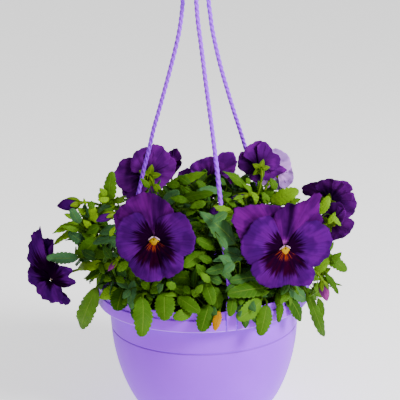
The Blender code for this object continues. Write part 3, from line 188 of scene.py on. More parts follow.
BLOOMS = {
    "front_left": (154.5, 239, 100, (-12, 6, 0), 1.0, (
        (-3.8, 2, (
            (124, 240, -3), (115.5, 228, -3), (113.6, 218, -3), (116.5, 210.5, -3), (125, 204, -3),
            (138, 201, -3), (152, 206, -3))),
        (-2.2, 2, (
            (118, 218, -2), (119.4, 210.5, -2), (124.4, 203.6, -2), (130.6, 197.4, -2), (140, 193.3, -3),
            (146, 192.3, -3), (153.8, 193.6, -3), (163.8, 199.3, -2), (170, 205.5, -1), (174, 212.4, 0),
            (173, 222, 0))),
        (-0.6, 2, (
            (149, 223, 0), (143.8, 216.4, 1), (137, 213, 2), (127.5, 215.5, 3), (121.3, 220.5, 3),
            (117.5, 226.8, 3), (115.4, 237, 3), (116.3, 247.4, 3), (119.4, 254.3, 3), (124.4, 259, 3),
            (130, 262.4, 2), (139, 259, 1))),
        (0.6, 2, (
            (156, 221, 0), (161, 216.5, 1), (168.8, 214, 2), (177.5, 212.1, 3), (183.1, 214.3, 3),
            (188.1, 219.3, 4), (191.3, 226.1, 4), (195.3, 235.5, 3), (195, 244.3, 3), (192.6, 251, 3),
            (188.1, 254.9, 2), (181, 257, 1))),
        (1.9, 2, (
            (133, 256, 1), (129.2, 262, 2), (129.6, 267.6, 3), (133.8, 273.6, 4), (140, 278.6, 4),
            (150.6, 281.8, 5), (160, 280.5, 5), (163.5, 277.6, 2), (168, 278.2, 4), (175.6, 274.9, 4),
            (181.3, 270.5, 3), (184, 263, 2), (183, 254, 1))))),
    "front_right": (284.5, 248, 92, (16, 4, 0), 1.0, (
        (-4.2, 2, (
            (246, 254, -3), (240.6, 242, -3), (236.8, 231.5, -2), (232.3, 222, 0), (234.3, 210.5, -1),
            (240.6, 206.9, -4), (254.7, 204.5, -3), (266.6, 204.5, -5), (284.1, 206.6, -3))),
        (-2.2, 3, (
            (272, 219, -1), (277.5, 210.8, 2), (289, 203.2, -2), (297, 204, 5), (308, 198, 6),
            (316.6, 192.6, 9), (321.7, 195.9, 8), (319, 209, 0), (322.7, 221.7, -3), (319, 232, -1))),
        (-0.6, 2, (
            (277, 226, 0), (270, 216, 2), (259.6, 217.9, 3), (252.6, 221.7, 3), (248.5, 229, 3),
            (243, 238, 2), (240.6, 248, 3), (243.4, 257, 3), (250.5, 264.5, 2), (259, 262, 1))),
        (0.6, 2, (
            (294, 231, 0), (301, 223, 1), (309, 221, 3), (316.4, 220.3, 3), (326.2, 225.9, 4),
            (331.5, 234.3, 3), (331.2, 245, 3), (328.6, 256, 3), (321.3, 263.1, 3), (312.2, 267, 2),
            (305, 262, 1))),
        (1.9, 2, (
            (256, 259, 1), (250.8, 265.2, 2), (252.2, 274.3, 4), (258.9, 282.7, 4), (266.6, 287.3, 5),
            (279.2, 287.3, 5), (285, 285.3, 2), (298.2, 285.9, 5), (306.6, 285.5, 5), (314.6, 279, 4),
            (313.6, 268, 2), (307, 260, 1))))),
    "left_side": (52, 279, 22, (-50, -6, 0), 1.0, (
        (-3.8, 8, (
            (30, 268, 2), (28.6, 258, 3), (29.4, 242, 4), (32, 233, 5), (36, 230.9, 5), (40.4, 225.9, 6))),
        (-2.6, 0, (
            (38.6, 262, -1), (39.4, 246, -2), (41.2, 237.4, -4), (47.3, 238.7, -5), (53.3, 239.3, -6),
            (49.2, 247, -3), (46.4, 258, -2))),
        (-0.5, 3, (
            (31, 252, 3), (27.4, 255, 4), (27.1, 260, 4), (30.6, 265, 2), (28, 272, 4), (27.5, 278, 4),
            (29.5, 284, 4), (36, 287, 2))),
        (0.7, 4, (
            (46, 257.5, 2), (50.5, 261.4, 4), (59.4, 264.6, 5), (69.1, 267.5, 7), (71.6, 271.6, 7),
            (69.6, 277, 6), (76.6, 280, 5), (73.7, 284.4, 5), (68, 287.2, 5), (60, 287.4, 3))),
        (2.1, 3, (
            (36.5, 282, 2), (34.7, 288.5, 3), (39.2, 295.3, 5), (47.9, 301, 6), (51.4, 303.2, 6),
            (58.4, 302, 5), (63.6, 296.4, 4), (61.5, 287, 3))),
        (1.6, 2, (
            (57.5, 300.5, 0), (60.5, 304.6, 1), (64, 303.6, 2), (67, 305.2, 1), (69.3, 303, 1),
            (70, 299.8, 1), (67.4, 296.6, 0), (63, 292, 0))))),
    "back_left": (147, 174, -46, (196, 0, 0), 0.84, (
        (-2.2, 2, (
            (131, 172, -2), (130.6, 161, -2), (133, 156.4, -1), (134.2, 153, 0), (137, 150, 0),
            (142.7, 147.9, 1), (150, 147.4, 0), (154.6, 153, -2))),
        (-3.6, 2, (
            (146, 154, -3), (151.9, 145.3, -2), (154.9, 143.9, -1), (163.6, 147.2, 1), (164.8, 149.4, 0),
            (168.7, 152.8, 1), (170, 157, 1), (168.6, 165, -1))),
        (-0.6, 3, (
            (161, 160, -1), (167, 156, 1), (174.3, 158.6, 3), (176, 166.6, 4), (174.3, 174.7, 4),
            (170.8, 179.8, 5), (164.1, 187, 4), (158.6, 190.6, 3))),
        (0.6, 3, (
            (135, 161, 0), (131, 157.4, 0), (123.3, 158.9, 3), (118.7, 163, 4), (116, 169.6, 4),
            (114.6, 174, 4), (115.7, 182, 4), (120.4, 188.6, 5), (128, 192.5, 4), (135, 189, 2))),
        (1.9, 3, (
            (121.6, 187, 4), (122.3, 194.7, 6), (127.4, 198.7, 7), (137, 199.5, 8), (148, 197, 8),
            (158, 196, 7), (163, 191, 4))))),
    "back_left_crumpled": (172, 163, -78, (20, 10, 0), 0.62, (
        (-2.2, 1, ((166, 158, 0), (169, 151.5, 1), (172.4, 150, 0), (173.2, 148.2, 2), (176, 149, 1))),
        (-3.6, 1, ((173, 149, 1), (177, 148.4, 3), (180.4, 153.2, 1), (181.8, 158.6, 3), (180, 160.6, 0))),
        (-0.6, 1, ((179.6, 159, 0), (182, 162.6, 2), (180.6, 167, 1), (177.6, 170.6, 2), (174.4, 171.8, 0))),
        (0.6, 1, ((168, 159, 0), (165, 162, 2), (165, 167, 2), (168, 171, 1))),
        (1.9, 1, ((167, 170, 0), (170, 174, 2), (174, 175, 2), (177, 171, 1))))),
    "back_centre": (209, 177, -58, (172, 26, 0), 0.80, (
        (-3.6, 2, (
            (194, 176, -2), (189.3, 167.4, 0), (196.4, 161, 1), (204, 157.5, 2), (209.4, 156.2, 1),
            (214.6, 157.6, 0), (219, 164, -2))),
        (-2.2, 2, (
            (213, 165, -2), (217.6, 156, 0), (220.8, 153.3, 1), (225.8, 151.6, 2), (230.8, 152.3, 2),
            (235.4, 155.6, 2), (237, 161.5, 2), (235.4, 170.1, 2), (232.5, 175.5, 0), (224, 180, -1))),
        (-0.6, 3, (
            (192, 171, 1), (186.4, 168.4, 3), (179.5, 171.5, 4), (177.6, 176.6, 5), (180.6, 183, 5),
            (191, 188, 3))),
        (0.6, 3, ((232, 172, 1), (236, 179, 4), (234.6, 185.4, 5), (224, 189, 4), (214, 188, 2))),
        (1.9, 3, ((195, 184, 2), (195, 194, 6), (206, 199, 8), (216, 197, 7), (222, 188, 3))))),
    "back_right": (258, 166, -12, (196, 6, 0), 0.68, (
        (-2.2, 2, (
            (243, 156, -1), (246.9, 146.6, 0), (252.2, 143.2, 1), (257.6, 140.6, 2), (262.4, 141, 1),
            (267, 147, -1))),
        (-3.6, 2, (
            (257, 146, -3), (262, 141.4, -1), (267.5, 143.3, 1), (271.3, 147.9, 2), (273, 152.6, 0),
            (277.6, 154.1, 1), (280, 158.7, 3), (280, 165, 1), (274, 171, -1))),
        (-0.6, 3, (
            (270, 161, 0), (277, 163.6, 3), (286.6, 169.3, 6), (283.6, 172, 5), (274.4, 177.8, 4),
            (266.8, 181, 4), (261, 178, 2))),
        (0.6, 3, (
            (248, 151, 1), (241.5, 151.8, 2), (238, 157, 4), (237.8, 163, 4), (238.4, 168.7, 5),
            (243.6, 171.8, 4), (247, 174.4, 4), (253, 174, 2))),
        (1.9, 3, ((249, 171, 1), (249.6, 178.6, 4), (254, 181.6, 6), (261, 182, 6), (266, 176, 3))))),
    "back_right_pale": (276, 168, -42, (166, 4, 0), 0.60, (
        (-2.2, 2, (
            (264, 164, -1), (266, 154, 0), (272.9, 148.7, 1), (277, 148.8, 1), (281.3, 150.2, 2),
            (286.6, 154.1, 2), (290.5, 159.4, 2), (291.3, 166, 1), (287, 173, -1))),
        (-3.6, 2, ((259, 172, -2), (258, 162, -1), (263, 154, 0), (270, 151, 0))),
        (-0.6, 3, ((258, 168, 0), (257, 176, 2), (261, 184, 3), (268, 186, 2))),
        (0.6, 3, (
            (284, 160, 0), (290, 162.6, 2), (292.8, 170.9, 4), (293.9, 176.3, 5), (292, 183.3, 5),
            (287, 187.6, 4), (280, 188, 2))),
        (1.9, 3, ((262, 178, 2), (264, 187, 5), (273, 190, 6), (282, 189, 6), (286, 182, 3))))),
    "right_upper": (331, 198, -26, (150, 18, 0), 0.78, (
        (-3.6, 2, (
            (314, 187, -2), (318.7, 181.3, 0), (325.6, 179.1, 1), (332.9, 178.6, 2), (340.3, 180.4, 2),
            (345, 184, 0))),
        (-2.2, 2, (
            (333, 181, -1), (340.3, 180.4, 1), (345.3, 181.4, 2), (350.6, 184.6, 3), (352.7, 189.5, 3),
            (350.8, 192.2, 1), (353.6, 195, 2), (352, 201, 0))),
        (-0.6, 3, (
            (346, 191, 1), (353, 193.8, 3), (356.8, 203.7, 5), (355, 211.5, 5), (349.6, 217.6, 4),
            (343.8, 216.3, 3), (338, 210, 1))),
        (0.6, 3, (
            (322, 206, 1), (311, 196.4, 3), (304.9, 195.2, 4), (301.8, 192.8, 5), (301.8, 187.6, 5),
            (306.3, 184.2, 4), (311.8, 182.1, 3), (319, 182, 1))),
        (1.9, 3, ((342, 209, 2), (340, 216, 5), (331, 219, 6), (323, 214, 5), (320, 206, 2))))),
    "right_lower": (333, 222, 2, (138, -4, 0), 0.62, (
        (-3.6, 2, (
            (323, 219, -1), (323.4, 212, 0), (325, 207.6, 1), (330.2, 203.2, 2), (337.5, 201.9, 2),
            (342.1, 204.2, 2), (345, 209, 0))),
        (-2.2, 2, ((338, 206, -1), (343, 208.6, 1), (345.6, 213, 2), (344.4, 218.4, 1), (342, 224, 0))),
        (-0.6, 3, (
            (341, 214, 1), (346, 216.6, 3), (352.2, 219.8, 4), (354.2, 223.9, 5), (351.7, 229.9, 4),
            (348.5, 234.5, 4), (342, 236, 2))),
        (0.6, 3, ((325, 213, 1), (320, 217, 4), (318, 224, 5), (320, 231, 4), (326, 234, 2))),
        (1.9, 3, (
            (347, 230, 2), (346, 235.6, 4), (341.6, 238.3, 5), (332, 240.4, 6), (325, 237, 5),
            (323, 230, 2))))),
    "behind": (176, 221, -112, (184, 10, 8), 0.84, OPEN_FACE),
}
BLOOM_ROOTS = (
    (-30, -34), (34, -30), (-64, -8), (-38, 30), (-14, 56), (-2, 20), (40, 6), (46, 34), (58, -8),
    (72, 24), (-6, 66),
)
# Each petal's kind (0 upper, 1 lateral, 2 lowest), how far its blotch draws in, and the eye's share of
# the flower. The flower seen from its side is blotched all over and shows little of its eye.
OPEN_LOOK = ((0, 0, 1, 1, 2), (1, 1, 1, 1, 1), 1)
SIDE_LOOK = ((1, 1, 1, 1, 1, 1), (0.6, 1.1, 0.9, 0.5, 2.0, 0.9), 0.4)

BUDS = {
    "left_opening": ((57, 206), (79, 203), 6, 13, (-58, 18)),
    "left_slim": ((96, 221), (113, 214), 40, 8.5, (-46, -20)),
    "centre_dark": ((209, 216), (221, 206), 52, 9, (12, -20)),
    "centre_slim": ((229, 200), (247, 195), 24, 6.5, (22, 4)),
    "right_drooping": ((327, 301), (322, 282), 60, 10, (70, -34)),
    "left_small": ((108, 271), (116, 261), 84, 5, (-60, -40)),
}

STEMS = (
    (-6, 60, 92, 150), (22, 70, 96, 152), (50, 68, 104, 158), (78, 54, 112, 182), (112, 70, 108, 176),
    (143, 66, 100, 170), (172, 70, 102, 164), (-158, 62, 100, 170), (-130, 70, 104, 176),
    (-98, 66, 108, 186), (-66, 70, 106, 168), (-34, 68, 96, 152), (14, 24, 34, 214),
    (96, 28, 52, 222), (-176, 30, 44, 212), (-92, 30, 50, 216), (-30, 44, 62, 192), (48, 42, 66, 196),
)

# Leaves in view: foot, tip, width in mm, and how far the face is turned to the eye
LEAVES = (
    ((97, 288, 113), (81, 328, 118), 18, 0.9),
    ((123, 288, 103), (117, 311, 118), 19, 0.8),
    ((119, 289, 98), (99, 299, 112), 13, 0.7),
    ((134, 280, 104), (134, 309, 118), 10, 0.7),
    ((145, 294, 103), (148, 334, 120), 19, 0.6),
    ((165, 292, 99), (165, 321, 116), 19, 0.7),
    ((178, 297, 100), (200, 312, 112), 13, 0.6),
    ((192, 312, 104), (173, 318, 114), 11, 0.6),
    ((209, 305, 104), (201, 332, 116), 16, 0.6),
    ((206, 283, 102), (213, 305, 113), 12, 0.7),
    ((214, 287, 97), (218, 309, 104), 13, 0.5),
    ((217, 311, 105), (212, 331, 113), 8, 0.7),
    ((235, 294, 108), (231, 315, 116), 10, 0.8),
    ((267, 305, 109), (260, 336, 118), 15, 0.7),
    ((262, 302, 101), (239, 318, 114), 18, 0.7),
    ((279, 298, 100), (281, 322, 112), 8, 0.7),
    ((285, 293, 102), (301, 322, 117), 14, 0.6),
    ((285, 287, 106), (306, 300, 112), 13, 0.6),
    ((306, 294, 114), (323, 337, 121), 11, 0.8),
    ((266, 288, 104), (227, 294, 116), 15, 0.4),
    ((262, 277, 98), (229, 281, 108), 13, 0.5),
    ((240, 265, 103), (208, 267, 111), 10, 0.5),
    ((232, 272, 109), (209, 275, 112), 10, 0.6),
    ((240, 257, 96), (212, 261, 106), 9, 0.5),
    ((243, 258, 90), (225, 250, 98), 13, 0.8),
    ((200, 282, 90), (172, 277, 97), 15, 0.6),
    ((204, 252, 92), (183, 267, 104), 12, 0.6),
    ((191, 289, 97), (185, 301, 104), 9, 0.7),
    ((115, 267, 104), (78, 268, 118), 11, 0.5),
    ((78, 256, 112), (46, 255, 126), 12, 0.8),
    ((91, 247, 104), (68, 232, 116), 12, 0.8),
    ((76, 231, 104), (53, 246, 120), 9, 0.6),
    ((80, 222, 92), (52, 234, 114), 9, 0.6),
    ((118, 239, 96), (93, 243, 110), 9, 0.5),
    ((97, 239, 104), (76, 260, 116), 18, 0.8),
    ((109, 205, 78), (112, 171, 86), 13, 0.8),
    ((113, 209, 80), (98, 195, 92), 12, 0.7),
    ((83, 225, 84), (77, 209, 92), 10, 0.7),
    ((95, 222, 88), (90, 203, 98), 9, 0.7),
    ((165, 191, 40), (208, 172, 34), 13, 0.6),
    ((184, 195, 30), (203, 183, 36), 12, 0.5),
    ((164, 203, 56), (179, 191, 60), 12, 0.9),
    ((176, 203, 54), (214, 193, 62), 11, 0.4),
    ((235, 245, 84), (198, 212, 96), 20, 0.7),
    ((214, 248, 88), (196, 239, 98), 10, 0.7),
    ((224, 192, 44), (199, 189, 52), 9, 0.5),
    ((248, 192, 22), (222, 171, 36), 12, 0.6),
    ((262, 203, 44), (276, 183, 52), 9, 0.7),
    ((270, 202, 58), (299, 190, 70), 15, 0.9),
    ((320, 214, 80), (329, 196, 90), 10, 0.9),
    ((324, 255, 104), (347, 271, 118), 13, 0.7),
    ((313, 275, 106), (329, 258, 116), 10, 0.8),
    ((240, 217, 60), (213, 228, 72), 10, 0.6),
    ((121, 228, 92), (100, 233, 104), 11, 0.5),
)
# How yellow (1) or blue (0) the green of each leaf in view is. The rest are drawn at random.
LEAF_GREENS = (
    0.75, 0.45, 1.0, 0.1, 0.65, 0.7, 0.65, 0.85, 0.55, 0.6, 0.6, 1.6, 0.6, 0.7, 0.85, 0.6, 0.4, 0.1,
    0.6, 0.5, 0.3, 0.35, 0.3, 0.05, 0.0, 0.6, 0.7, 0.7, 1.15, 0.0, 0.05, 1.05, 0.95, 0.05, 0.7, 0.85,
    1.0, 0.0, 1.1, 0.9, 0.5, 0.1, 0.6, 0.15, 0.6, 0.1, 0.7, 0.8, 1.0, 1.0, 0.7, 0.95, 0.4, 0.1,
)
# Small leaves in view: foot, tip, width in mm, how far the face is turned to the eye, and how yellow they are
SMALL_LEAVES = (
    ((90, 226, 92), (71, 218, 100), 7, 0.7, 1.1), ((78, 219, 96), (64, 214, 104), 6, 0.7, 0.95),
    ((88, 218, 96), (84, 204, 102), 7, 0.8, 0.1), ((94, 214, 96), (88, 222, 104), 6, 0.7, 1.0),
    ((98, 212, 90), (112, 206, 92), 7, 0.6, 0.1), ((92, 228, 98), (83, 220, 104), 7, 0.8, 1.1),
    ((96, 236, 98), (88, 227, 104), 7, 0.7, 0.9), ((97, 246, 104), (92, 230, 108), 6, 0.6, 1.0),
    ((104, 228, 96), (96, 224, 102), 7, 0.7, 0.5), ((110, 236, 100), (116, 226, 98), 5, 0.8, 1.1),
    ((103, 250, 106), (122, 259, 104), 5, 0.6, 0.1), ((128, 262, 100), (117, 271, 106), 9, 0.7, 0.9),
    ((112, 258, 104), (104, 246, 108), 8, 0.6, 0.35), ((90, 262, 110), (79, 259, 116), 7, 0.6, 0.2),
    ((104, 276, 106), (84, 279, 114), 6, 0.5, 1.0), ((98, 276, 108), (90, 284, 112), 4, 0.6, 0.6),
    ((112, 280, 104), (98, 276, 110), 7, 0.5, 0.9), ((116, 277, 104), (126, 283, 104), 7, 0.6, 0.7),
    ((77, 258, 112), (76, 246, 118), 3, 0.6, 1.0), ((80, 231, 100), (62, 226, 108), 6, 0.6, 0.9),
    ((110, 199, 84), (98, 200, 92), 8, 0.7, 1.1), ((114, 201, 82), (125, 202, 80), 8, 0.7, 0.9),
    ((107, 196, 84), (100, 188, 90), 7, 0.8, 1.0), ((117, 207, 84), (112, 197, 86), 7, 0.7, 0.9),
    ((86, 205, 96), (84, 198, 100), 3, 0.7, 1.1), ((120, 246, 98), (110, 240, 104), 9, 0.5, 0.1),
    ((150, 188, 44), (140, 178, 44), 6, 0.8, 0.9), ((160, 192, 44), (154, 184, 46), 7, 0.8, 1.0),
    ((176, 196, 50), (164, 186, 50), 9, 0.6, 0.3), ((188, 201, 56), (170, 198, 60), 8, 0.6, 0.6),
    ((196, 206, 60), (186, 216, 64), 8, 0.6, 0.7), ((206, 202, 60), (190, 208, 66), 9, 0.6, 0.8),
    ((215, 200, 56), (232, 193, 56), 8, 0.5, 0.4), ((236, 206, 60), (224, 199, 66), 8, 0.6, 0.7),
    ((244, 204, 54), (233, 198, 60), 7, 0.6, 0.9), ((252, 196, 46), (242, 184, 48), 9, 0.7, 0.9),
    ((250, 190, 40), (232, 188, 46), 7, 0.5, 0.1), ((256, 203, 50), (250, 192, 54), 8, 0.8, 1.0),
    ((262, 196, 46), (258, 180, 48), 7, 0.7, 0.85), ((268, 204, 52), (262, 192, 54), 8, 0.8, 0.9),
    ((284, 205, 60), (301, 199, 66), 8, 0.7, 0.9), ((276, 190, 46), (270, 178, 48), 8, 0.7, 0.8),
    ((190, 184, 34), (178, 176, 36), 9, 0.6, 0.5), ((172, 190, 40), (180, 180, 40), 8, 0.6, 0.7),
    ((240, 186, 36), (248, 176, 36), 9, 0.6, 0.5), ((226, 184, 36), (214, 178, 38), 8, 0.6, 0.3),
    ((206, 189, 38), (196, 181, 40), 8, 0.6, 0.6), ((203, 228, 76), (189, 223, 82), 8, 0.6, 0.5),
    ((222, 228, 76), (208, 236, 84), 9, 0.6, 0.1), ((196, 232, 80), (190, 242, 86), 8, 0.6, 0.8),
    ((226, 240, 84), (216, 234, 90), 9, 0.6, 0.1), ((232, 264, 92), (218, 255, 98), 10, 0.5, 0.1),
    ((212, 262, 98), (198, 256, 104), 8, 0.6, 0.6), ((205, 275, 100), (196, 264, 106), 9, 0.6, 0.6),
    ((222, 282, 100), (208, 277, 106), 9, 0.5, 0.3), ((196, 293, 102), (203, 284, 106), 7, 0.7, 0.8),
    ((210, 282, 104), (200, 272, 106), 7, 0.7, 0.85), ((131, 289, 104), (123, 298, 108), 7, 0.7, 0.1),
    ((134, 305, 106), (133, 319, 114), 6, 0.7, 0.3), ((150, 288, 102), (141, 282, 106), 8, 0.6, 0.8),
    ((160, 287, 102), (150, 293, 106), 8, 0.6, 0.7), ((176, 288, 100), (166, 283, 104), 8, 0.6, 0.8),
    ((184, 286, 98), (190, 294, 104), 7, 0.6, 0.6), ((199, 296, 102), (191, 290, 106), 8, 0.7, 0.8),
    ((245, 300, 104), (236, 303, 108), 6, 0.6, 0.5), ((288, 291, 104), (279, 303, 110), 8, 0.7, 0.7),
    ((268, 297, 98), (274, 290, 100), 6, 0.6, 0.3), ((312, 297, 110), (302, 310, 116), 8, 0.7, 0.8),
    ((318, 298, 112), (323, 318, 118), 8, 0.7, 0.6), ((310, 286, 106), (320, 296, 110), 8, 0.6, 0.8),
    ((318, 275, 108), (331, 268, 114), 7, 0.7, 1.0), ((324, 272, 110), (338, 294, 116), 7, 0.7, 0.6),
    ((322, 281, 112), (343, 286, 116), 3, 0.7, 0.8), ((316, 268, 108), (322, 259, 112), 7, 0.8, 1.0),
    ((326, 252, 108), (334, 242, 112), 6, 0.8, 0.8), ((330, 262, 110), (341, 252, 116), 8, 0.7, 0.8),
    ((330, 215, 84), (341, 226, 90), 6, 0.7, 1.0), ((328, 224, 84), (335, 212, 88), 6, 0.7, 1.0),
    ((306, 288, 108), (316, 300, 114), 7, 0.6, 0.6), ((300, 285, 104), (309, 295, 110), 7, 0.6, 0.2),
    ((318, 283, 112), (308, 297, 116), 7, 0.6, 0.8), ((306, 294, 110), (311, 308, 114), 6, 0.6, 0.7),
    ((209, 212, 66), (197, 197, 70), 3, 0.8, 1.6), ((234, 215, 94), (213, 206, 98), 9, 0.7, 0.95),
    ((92, 222, 90), (79, 212, 96), 10, 0.7, 0.9), ((100, 226, 90), (87, 233, 96), 10, 0.7, 0.6),
    ((84, 232, 98), (75, 224, 104), 8, 0.7, 0.8), ((104, 214, 84), (93, 208, 90), 9, 0.7, 0.8),
    ((99, 217, 84), (108, 227, 84), 9, 0.6, 0.4), ((96, 204, 88), (88, 206, 92), 8, 0.8, 0.7),
    ((302, 283, 98), (316, 292, 106), 9, 0.6, 0.2), ((300, 286, 100), (309, 300, 108), 8, 0.6, 0.7),
    ((90, 240, 98), (80, 250, 104), 10, 0.6, 1.0), ((86, 214, 92), (78, 208, 98), 7, 0.7, 1.0),
    ((219, 236, 96), (227, 249, 99), 7, 0.5, 0.1), ((234, 262, 98), (222, 272, 101), 9, 0.5, 0.1),
    ((220, 268, 100), (232, 280, 103), 8, 0.4, 0.2), ((234, 284, 100), (225, 292, 104), 6, 0.5, 0.3),
    ((227, 212, 92), (211, 223, 96), 9, 0.5, 0.15), ((166, 196, 48), (158, 190, 50), 7, 0.7, 0.8),
    ((184, 194, 44), (180, 185, 46), 7, 0.7, 0.5), ((243, 196, 62), (233, 200, 68), 5, 0.6, 0.9),
    ((180, 186, 40), (166, 184, 42), 9, 0.6, 0.7),
    ((118, 204, 84), (127, 196, 82), 6, 0.7, 0.9), ((250, 184, 36), (246, 178, 38), 6, 0.6, 0.9),
    ((192, 195, 40), (183, 185, 42), 8, 0.6, 0.6), ((171, 197, 48), (163, 186, 50), 7, 0.7, 0.8),
    ((266, 200, 44), (276, 191, 46), 8, 0.7, 0.8), ((272, 207, 56), (285, 202, 60), 8, 0.7, 0.9),
    ((114, 213, 84), (103, 209, 88), 8, 0.7, 0.6), ((106, 206, 86), (95, 210, 90), 8, 0.7, 0.9),
    ((308, 283, 104), (320, 275, 110), 9, 0.7, 0.8), ((309, 291, 106), (319, 283, 110), 9, 0.7, 0.7),
    ((312, 296, 110), (316, 283, 114), 7, 0.7, 0.8), ((107, 258, 104), (94, 252, 108), 9, 0.6, 0.7),
    ((95, 240, 98), (82, 233, 104), 8, 0.6, 0.8), ((100, 244, 100), (96, 256, 106), 8, 0.6, 0.9),
    ((320, 266, 104), (315, 280, 108), 7, 0.7, 0.8), ((305, 276, 98), (320, 279, 102), 7, 0.7, 0.9),
    ((322, 290, 112), (313, 283, 108), 7, 0.7, 0.6), ((328, 284, 112), (321, 275, 112), 6, 0.7, 0.9),
)
# How far a small leaf may move along its sight line to find room, in mm, nearest first
SIGHT_SHIFTS = (0, 3, -3, 6, -6, 10, -10, 15, -15, 20, 26)
# The rows of LEAVES whose blades end in a point
POINTED_LEAVES = (2, 23, 31, 32, 39, 43, 46, 47)


# Places: the sight, and points around the pot

def around(turn, radius, height):
    """A point at a turn from the front, clockwise as seen from above being minus."""
    angle = math.radians(turn)
    return Vector((radius * math.sin(angle), -radius * math.cos(angle), height))


def sight_frame():
    """The eye's place, and the view's directions forward, right and up."""
    forward = Vector((0, math.cos(SIGHT_TILT), -math.sin(SIGHT_TILT)))
    level_up = Vector((0, math.sin(SIGHT_TILT), math.cos(SIGHT_TILT)))
    right = Vector((math.cos(SIGHT_ROLL), 0, 0)) + level_up * math.sin(SIGHT_ROLL)
    up = level_up * math.cos(SIGHT_ROLL) - Vector((math.sin(SIGHT_ROLL), 0, 0))
    return SIGHT_AIM - forward * SIGHT_DISTANCE, forward, right, up


def sight_line(across, down):
    """The eye, and the direction of the line that passes through a pixel of the frame."""
    eye, forward, right, up = sight_frame()
    line = forward + right * ((across - SIGHT_CENTRE) / SIGHT_SCALE)
    return eye, line - up * ((down - SIGHT_CENTRE) / SIGHT_SCALE)


def seen(across, down, ahead):
    """The point on a sight line that lies a distance in mm in front of the pot's axis."""
    eye, line = sight_line(across, down)
    return eye + line * ((-ahead * MM - eye.y) / line.y)


def seen_at_radius(across, down, radius):
    """The point on a sight line at a radius in mm, or the point nearest the axis if it passes outside."""
    eye, line = sight_line(across, down)
    a = line.x**2 + line.y**2
    b = eye.x * line.x + eye.y * line.y
    c = eye.x**2 + eye.y**2 - (radius * MM) ** 2
    inside = max(b * b - a * c, 0)
    return eye + line * ((-b - math.copysign(math.sqrt(inside), radius)) / a)


def soil_height(x, y):
    """The soil's height at a place, straight between the corners of its profile."""
    radii, heights = zip(*SOIL_PROFILE)
    return np.interp(np.hypot(x, y) / MM, radii, heights) * MM


def in_soil(x, y):
    """The foot of a stem in its hole, and the point over it just above the soil."""
    level = float(soil_height(x, y))
    return [Vector((x, y, level + rise)) for rise in (GAP - STEM_HOLE_DEPTH, 1 * MM)]


# Surfaces, worked out as whole arrays

def square_to(way, direction):
    """The part of a direction that is square to a unit way, as a unit vector."""
    return (direction - way * direction.dot(way)).normalized()


def scatter(draw, *limits):
    """A vector of three draws in a row."""
    return Vector([draw(*limits) for _ in range(3)])


def unit(v):
    """Each vector divided by its length."""
    return v / np.maximum(np.linalg.norm(v, axis=-1, keepdims=True), 1e-12)


def layered(x, y, z):
    """Three parts of a vector, each a grid or what spreads to one, as one grid of vectors."""
    return np.stack(np.broadcast_arrays(x, y, z), axis=2)


def bezier(anchors, count):
    """A cubic Bezier curve: (1-t)^3 a + 3(1-t)^2 t b + 3(1-t) t^2 c + t^3 d."""
    a, b, c, d = (np.array(p, float) for p in anchors)
    t = np.linspace(0, 1, count)[:, None]
    s = 1 - t
    return s**3 * a + 3 * s * s * t * b + 3 * s * t * t * c + t**3 * d


def through(points, count):
    """A Catmull-Rom curve through points: each stretch is a cubic whose slopes join its neighbours."""
    p = np.array(points, float)
    p = np.vstack([2 * p[:1] - p[1:2], p, 2 * p[-1:] - p[-2:-1]])
    at = np.linspace(0, len(points) - 1, count)
    k = np.minimum(at.astype(int), len(points) - 2)
    t = (at - k)[:, None]
    a, b, c, d = p[k], p[k + 1], p[k + 2], p[k + 3]
    return 0.5 * (2 * b + (c - a) * t + (2 * a - 5 * b + 4 * c - d) * t**2 + (3 * b - a - 3 * c + d) * t**3)


def ring_angles(sides):
    """Even angles round a full turn, the first at 0."""
    return np.linspace(0, 2 * np.pi, sides, endpoint=False)


def sweep(path, side, across, lift, way=None):
    """A cross-section carried along a path: centre + across * side + lift * (ahead x side).

    Side is one direction, made square to the path at every station. Across and lift are stations by
    corners, and the section turns right-handed about the way ahead, so its faces point out.
    """
    ahead = unit(np.gradient(path, axis=0)) if way is None else np.broadcast_to(way, path.shape)
    side = np.broadcast_to(np.asarray(side, float), path.shape)
    side = unit(side - ahead * np.sum(side * ahead, axis=1, keepdims=True))
    other = np.cross(ahead, side)
    return path[:, None] + side[:, None] * across[..., None] + other[:, None] * lift[..., None]


def plane_side(path):
    """A direction square to the plane that a bent path lies in."""
    normal = np.cross(path[len(path) // 2] - path[0], path[-1] - path[0])
    if np.linalg.norm(normal) < 1e-8:
        normal = np.cross(path[-1] - path[0], (0.3, 1, 0.2))
    return normal


def tube(path, radius, sides=12, side=None):
    """Round rings along a path: radius (cos angle, sin angle), with a radius for each station."""
    angle = ring_angles(sides)
    radius = np.broadcast_to(np.asarray(radius, float).reshape(-1, 1), (len(path), 1))
    side = plane_side(path) if side is None else side
    return sweep(path, side, radius * np.cos(angle), radius * np.sin(angle))


def turned(profile, sides):
    """A profile of radius and height, which runs up the outside, as (r cos angle, r sin angle, z)."""
    profile = np.array(profile, float)
    angle = ring_angles(sides)
    r, z = profile[:, :1], profile[:, 1:]
    return layered(r * np.cos(angle), r * np.sin(angle), z)


def rounded(points, radius, steps=4):
    """An outline with each corner but the ends replaced by a quadratic curve that starts a radius away."""
    p = np.array(points, float)
    before, here, after = p[:-2], p[1:-1], p[2:]
    back, on = before - here, after - here
    reach = np.minimum(radius, 0.45 * np.minimum(np.linalg.norm(back, axis=1), np.linalg.norm(on, axis=1)))
    a, b = here + unit(back) * reach[:, None], here + unit(on) * reach[:, None]
    t = np.linspace(0, 1, steps)[None, :, None]
    curves = (1 - t) ** 2 * a[:, None] + 2 * t * (1 - t) * here[:, None] + t**2 * b[:, None]
    return np.vstack([p[:1], curves.reshape(-1, p.shape[1]), p[-1:]])


